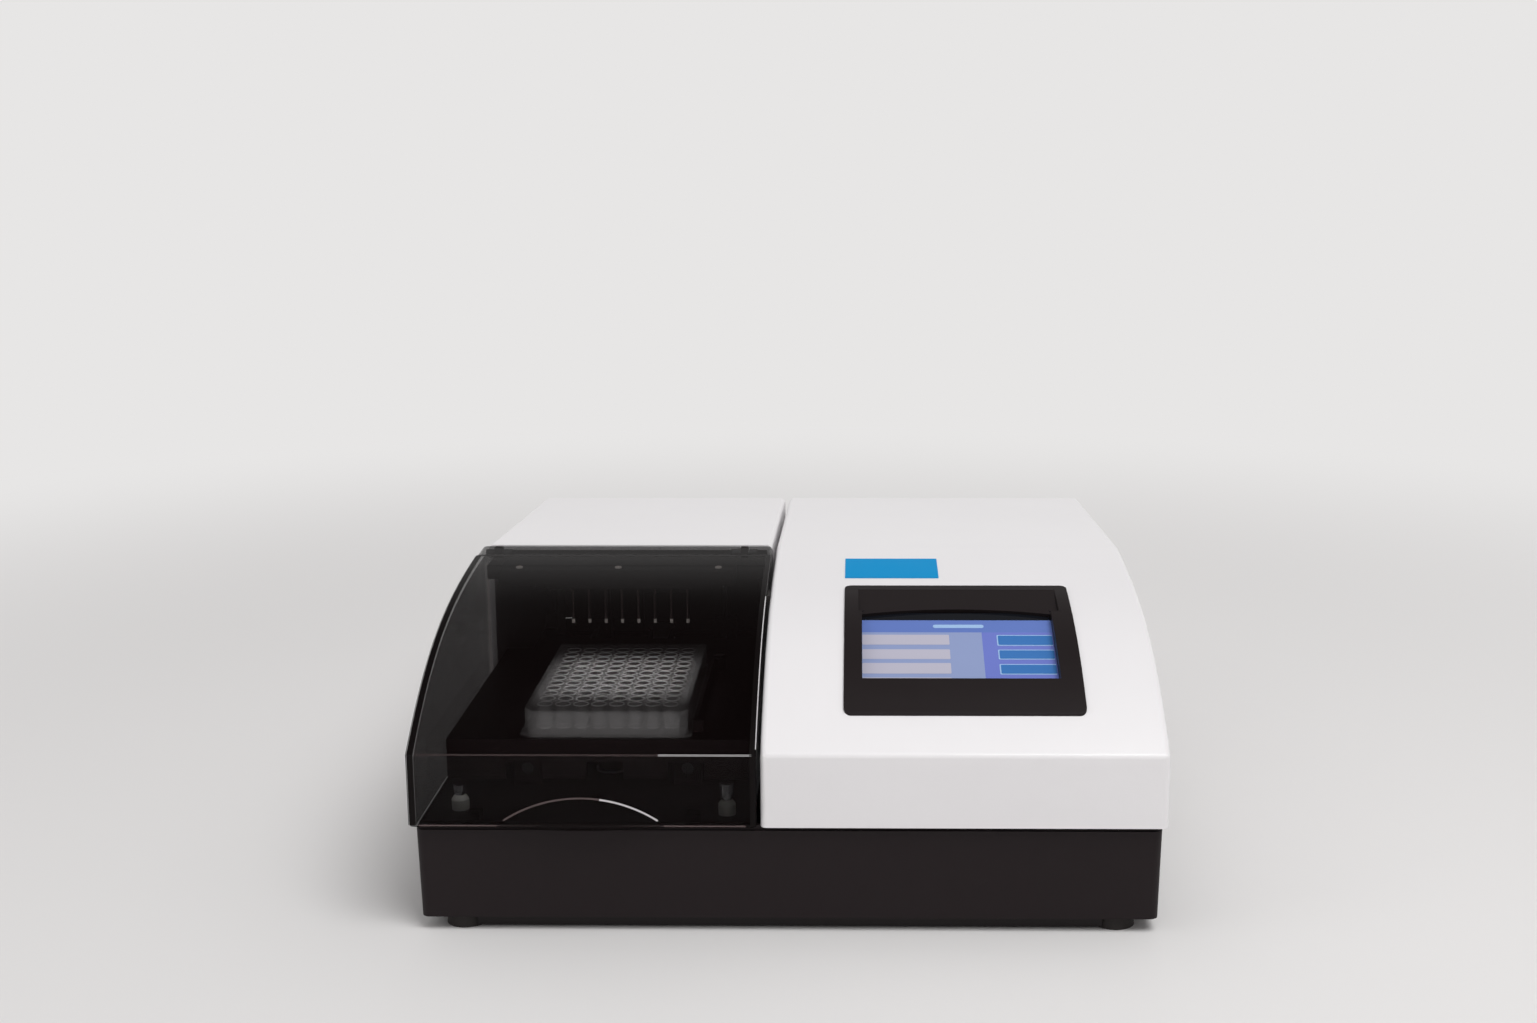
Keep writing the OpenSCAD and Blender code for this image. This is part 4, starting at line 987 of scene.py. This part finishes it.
@dataclass
class Fasteners(Assembly):
    """Header screws and the two thumbscrews. Sizes are in millimetres."""

    header_top: float = 138.6
    header_y: float = 171.2
    header_x: tuple[float, ...] = (-153.2, -98.75, -43.7)
    head: Pair = (1.9, 0.85)
    head_sides: int = 32
    dome: float = 0.4
    slot: Pair = (2.2, 0.5)
    slot_heights: Pair = (0.4, 2.0)
    shank: Pair = (1.0, 2.7)
    shank_foot: float = -2.6
    shank_sides: int = 20
    shell_z: float = 53.8
    knob_foot: float = 33.5
    knob_shank: float = 1.5
    collar: Pair = (2.2, 1.3)
    collar_rise: float = 7.3
    collar_overlap: float = 0.5
    grip_rise: float = 1.2
    grip_sides: int = 72
    grip_inset: float = 0.25
    ridge: float = 0.2
    face_inset: float = 0.6
    face_area: float = 1e-5
    knob_angle: float = 28.0
    knobs: tuple[tuple[str, float, float, float, float], ...] = (
        ("left_thumbscrew", -158.5, 25.0, 12.4, 3.2),
        ("right_thumbscrew", -29.6, 19.0, 15.4, 3.5),
    )

    def header_screws(self) -> None:
        """Makes one domed screw with a cross recess and copies it."""
        radius, height = self.head
        head = Bench.drum("header_screw", ORIGIN, radius * MM, height * MM, self.head_sides)
        Bench.round_edges(head, lambda f: f.normal.z > STEEP, self.dome * MM, 3, "FACE")
        low, high = self.slot_heights
        for k, (x, y) in enumerate((self.slot, self.slot[::-1])):
            slot = Bench.block(f"slot_{k}", Vector((-x / 2, -y / 2, low)) * MM,
                               Vector((x / 2, y / 2, high)) * MM)
            Bench.modify(head, "BOOLEAN", operation="DIFFERENCE", object=slot, solver="EXACT")
            bpy.data.objects.remove(slot)
        radius, height = self.shank
        foot = Vector((0, 0, self.shank_foot * MM))
        shank = Bench.drum("header_shank", foot, radius * MM, height * MM, self.shank_sides)
        head = Bench.join([head, shank], "header_screw")
        Bench.smooth(head)
        places = [at(x, self.header_y, self.header_top) for x in self.header_x]
        screws = Bench.repeat(head, "header_screw_set", places)
        bpy.data.objects.remove(head)
        # The screws take the chrome finish with a painted glow.
        self.hand_over(screws, "base", "chromed", ["header_screws"], "chrome_painted_glow")

    def thumbscrew(self, node: str, x: float, y: float, height: float, radius: float) -> None:
        """Makes a knurled thumbscrew over its CAD node.

        Args:
            node: the CAD node, which is also the body's name.
            x: its axis.
            y: its axis behind the front wall.
            height: height of its top above the shell.
            radius: radius of the grip.
        """
        top = self.shell_z + height
        collar_z = self.shell_z + self.collar_rise
        grip_z = collar_z + self.grip_rise
        reach = collar_z + self.collar_overlap - self.knob_foot
        drums = (("shank", self.knob_foot, self.knob_shank, reach, self.head_sides),
                 ("collar", collar_z, *self.collar, self.head_sides),
                 ("grip", grip_z, radius - self.grip_inset, top - grip_z, self.grip_sides))
        shank, collar, grip = (Bench.drum(f"{node}_{name}", at(x, y, z), r * MM, h * MM, sides)
                               for name, z, r, h, sides in drums)
        side = [f.index for f in grip.data.polygons if abs(f.normal.z) < 1 - STEEP]
        ridges = set(side[::2])
        raised = {"value": self.ridge * MM}
        Bench.edit(grip, lambda f: f.index in ridges,
                   lambda: bpy.ops.mesh.extrude_faces_move(TRANSFORM_OT_shrink_fatten=raised))
        Bench.edit(grip, lambda f: f.normal.z > STEEP and f.calc_area() > self.face_area,
                   lambda: (bpy.ops.mesh.inset(thickness=self.face_inset * MM),
                            bpy.ops.mesh.bevel(offset=self.ridge * MM, segments=2)))
        piece = Bench.join([grip, collar, shank], f"{node}_knob")
        Bench.smooth(piece, self.knob_angle)
        self.hand_over(piece, node, "chromed", [node])

    def build(self) -> None:
        """Makes the screws."""
        self.header_screws()
        for knob in self.knobs:
            self.thumbscrew(*knob)


@dataclass
class Hoses(Assembly):
    """The clear hoses: two risers, and the tubing in the tub."""

    radius: float = 3.0
    sides: int = 24
    line_y: float = 347.6
    deck: float = 57.8
    top: float = 118.0
    turn: float = 6.0
    turn_steps: int = 10
    smooth_angle: float = 50.0
    fixed_share: float = 0.589
    left_ends: Pair = (-160.0, -143.2)
    right_ends: Pair = (-26.0, -40.8)

    def riser(self, name: str, x: float, end_x: float) -> Piece:
        """One hose from the deck up, and across to the carriage.

        Args:
            name: its name.
            x: where it stands.
            end_x: where it ends.

        Returns:
            The hose.
        """
        Bench.clear()
        bpy.ops.mesh.primitive_circle_add(vertices=self.sides, radius=self.radius * MM, fill_type="NGON",
                                          location=at(x, self.line_y, self.deck))
        piece = bpy.context.object
        piece.name = name
        Bench.settle(piece)
        way = 1.0 if end_x > x else -1.0
        rise = (self.top - self.turn - self.deck) * MM
        centre = at(x + way * self.turn, self.line_y, self.top - self.turn)
        Bench.mode("EDIT")
        bpy.ops.mesh.select_all(action="SELECT")
        bpy.ops.mesh.extrude_region_move(TRANSFORM_OT_translate={"value": (0, 0, rise)})
        bpy.ops.mesh.spin(steps=self.turn_steps, angle=math.radians(90), center=centre, axis=(0, way, 0))
        length = (abs(end_x - x) - self.turn) * MM
        bpy.ops.mesh.extrude_region_move(TRANSFORM_OT_translate={"value": (way * length, 0, 0)})
        bpy.ops.mesh.select_all(action="SELECT")
        bpy.ops.mesh.remove_doubles(threshold=Bench.MERGE / 2)
        bpy.ops.mesh.normals_make_consistent(inside=False)
        Bench.mode("OBJECT")
        Bench.smooth(piece, self.smooth_angle)
        return piece

    def build(self) -> None:
        """Makes the risers and the smooth tubing."""
        risers = [self.riser("riser_left", *self.left_ends), self.riser("riser_right", *self.right_ends)]
        piece = Bench.join(risers, "manifold_risers")
        self.hand_over(piece, "base", "clear_hose", ["manifold_hoses"])
        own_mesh(piece)
        tubing = Bench.merged_copy("fluid_tubing", "tub_tubing")
        self.hand_over(tubing, "base", "clear_hose", ["fluid_tubing"])


@dataclass(frozen=True)
class Lamp:
    """One softbox, with sizes in metres.

    Attributes:
        name: its name.
        place: where it hangs.
        aim: the point that it faces.
        size: its side or width.
        watts: its power.
        height: its height, or 0 for a square.
        spread: how wide its light opens, in degrees.
        reflected: whether shiny surfaces show it.
    """

    name: str
    place: Point
    aim: Point
    size: float
    watts: float
    height: float = 0.0
    spread: float = 180.0
    reflected: bool = True

    def build(self) -> None:
        """Hangs the lamp."""
        data = bpy.data.lights.new(self.name, "AREA")
        data.size, data.energy = self.size, self.watts
        if self.height:
            data.shape, data.size_y = "RECTANGLE", self.height
        data.spread = math.radians(self.spread)
        lamp = bpy.data.objects.new(self.name, data)
        bpy.context.scene.collection.objects.link(lamp)
        lamp.location = self.place
        aim = Vector(self.aim) - Vector(self.place)
        lamp.rotation_euler = aim.to_track_quat("-Z", "Y").to_euler()
        lamp.visible_glossy = self.reflected


@dataclass
class Studio:
    """Floor, backdrop, lamps, world and camera."""

    focal: float = 43.90
    shift: Pair = (-0.0375, -0.0061)
    clip: Pair = (0.01, 50.0)
    eye: Point = (0.03309, -1.03156, 0.37263)
    pitch: float = 11.149
    yaw: float = 1.007
    roll: float = -0.191
    background: tuple[float, float, float, float] = (0.80, 0.79, 0.785, 1.0)
    floor_color: tuple[float, float, float, float] = (0.74, 0.73, 0.725, 1.0)
    floor_size: float = 14.0
    floor_roughness: float = 0.8
    floor_gloss: float = 0.1
    fade: Pair = (0.45, 1.35)
    dome_color: tuple[float, float, float, float] = (1.0, 0.985, 0.985, 1.0)
    dome: float = 0.5
    horizon: Pair = (0.15, 0.62)
    zenith: float = 0.15
    lamps: tuple[Lamp, ...] = (
        Lamp("key", (0.7, -1.05, 2.1), (0, 0, 0.05), 1.3, 33.0),
        Lamp("fill", (-1.6, -0.7, 1.4), (0, 0, 0.1), 1.2, 3.0),
        Lamp("rear", (0.2, 2.0, 1.0), (0, 0.1, 0.1), 1.2, 4.0, reflected=False),
        Lamp("bay", (-0.092, -0.088, 0.119), (-0.092, -0.088, 0.0), 0.07, 0.055, spread=80),
        Lamp("bay_front", (-0.094, -0.193, 0.081), (-0.094, -0.149, 0.084), 0.146, 0.04, 0.012, 140, False),
    )

    def camera(self) -> None:
        """Sets the camera at the photograph's place."""
        pitch, yaw, roll = (math.radians(a) for a in (self.pitch, self.yaw, self.roll))
        ahead = Vector((-math.sin(yaw) * math.cos(pitch), math.cos(yaw) * math.cos(pitch), -math.sin(pitch)))
        level = Vector((math.cos(yaw), math.sin(yaw), 0.0))
        up = level.cross(ahead)
        right = math.cos(roll) * level + math.sin(roll) * up
        top = -math.sin(roll) * level + math.cos(roll) * up
        data = bpy.data.cameras.new("camera")
        data.lens = self.focal
        data.shift_x, data.shift_y = self.shift
        data.clip_start, data.clip_end = self.clip
        camera = bpy.data.objects.new("camera", data)
        bpy.context.scene.collection.objects.link(camera)
        turn = Matrix((right, top, -ahead)).transposed().to_4x4()
        camera.matrix_world = Matrix.Translation(Vector(self.eye)) @ turn
        bpy.context.scene.camera = camera

    def backdrop(self) -> None:
        """Makes the pale floor."""
        Bench.clear()
        bpy.ops.mesh.primitive_plane_add(size=1, location=(0, 0, 0))
        floor = bpy.context.object
        floor.name = "floor"
        floor.scale = (self.floor_size, self.floor_size, 1)
        Bench.settle(floor)
        floor.data.materials.append(self.floor_material())

    def floor_material(self) -> bpy.types.Material:
        """A pale matt floor that fades into the background colour far from the object.

        Returns:
            The material.
        """
        material = bpy.data.materials.new("floor_pale")
        material.use_nodes = True
        graph = Graph(material.node_tree)
        graph.nodes.clear()
        out, place = graph.add("OutputMaterial"), graph.add("TexCoord")
        shader = graph.add("BsdfPrincipled", {
            "Base Color": self.floor_color, "Roughness": self.floor_roughness,
            "Specular IOR Level": self.floor_gloss,
        })
        shown = graph.add("Emission", {"Color": self.background})
        length = graph.add("VectorMath", operation="LENGTH")
        fade = graph.add("MapRange", {"From Min": self.fade[0], "From Max": self.fade[1]},
                         interpolation_type="SMOOTHSTEP")
        share = graph.add("Math", operation="MULTIPLY")
        graph.link((place.outputs["Object"], length.inputs[0]), (length.outputs["Value"], fade.inputs[0]),
                   (fade.outputs[0], share.inputs[0]), (self.seen_rays(graph), share.inputs[1]))
        self.blend(graph, share.outputs[0], shader, shown, out)
        return material

    @staticmethod
    def seen_rays(graph: Graph) -> Socket:
        """Tells the rays that show the background from those that light the object.

        Args:
            graph: the nodes of a material or of the world.

        Returns:
            Socket that is 1 for camera, glossy and transmission rays, and 0 for the rest.
        """
        path = graph.add("LightPath")
        total = path.outputs["Is Camera Ray"]
        for kind in ("Is Glossy Ray", "Is Transmission Ray"):
            larger = graph.add("Math", operation="MAXIMUM")
            graph.link((total, larger.inputs[0]), (path.outputs[kind], larger.inputs[1]))
            total = larger.outputs[0]
        return total

    @staticmethod
    def blend(graph: Graph, share: Socket, first: Node, second: Node, out: Node) -> None:
        """Blends two shaders into an output.

        Args:
            graph: the nodes of a material or of the world.
            share: share of the second shader.
            first: the first shader.
            second: the second shader.
            out: the output.
        """
        mix = graph.add("MixShader")
        graph.link((share, mix.inputs[0]), (first.outputs[0], mix.inputs[1]),
                   (second.outputs[0], mix.inputs[2]), (mix.outputs[0], out.inputs["Surface"]))

    def world(self) -> None:
        """A soft grey dome that shows pale near the horizon and darker overhead."""
        world = bpy.data.worlds.new("studio")
        bpy.context.scene.world = world
        world.use_nodes = True
        graph = Graph(world.node_tree)
        graph.nodes.clear()
        out = graph.add("OutputWorld")
        light = graph.add("Background", {"Color": self.dome_color, "Strength": self.dome})
        shown = graph.add("Background", {"Color": self.background})
        way, parts = graph.add("TexCoord"), graph.add("SeparateXYZ")
        near, far = self.horizon
        fall = graph.add("MapRange", {"From Min": near, "From Max": far, "To Max": self.zenith},
                         interpolation_type="SMOOTHSTEP")
        fall.inputs["To Min"].default_value = 1.0
        graph.link((way.outputs["Generated"], parts.inputs[0]), (parts.outputs["Z"], fall.inputs["Value"]),
                   (fall.outputs[0], shown.inputs["Strength"]))
        self.blend(graph, self.seen_rays(graph), light, shown, out)

    def build(self) -> None:
        """Sets the whole stage."""
        bpy.context.scene.view_settings.view_transform = "Standard"
        self.camera()
        self.backdrop()
        self.world()
        for lamp in self.lamps:
            lamp.build()


def main() -> None:
    """Builds every sub-assembly in order."""
    logging.basicConfig(level=logging.INFO, format="%(name)s: %(message)s")
    Studio().build()
    wardrobe = Wardrobe()
    wardrobe.dress_nodes()
    for assembly in (Shells(wardrobe), CoverEdges(wardrobe), Plate(wardrobe), TubeTips(wardrobe),
                     TouchScreen(wardrobe), LabelPlate(wardrobe), Fasteners(wardrobe), Hoses(wardrobe)):
        LOG.info("building %s", type(assembly).__name__)
        assembly.build()


if __name__ == "__main__":
    main()
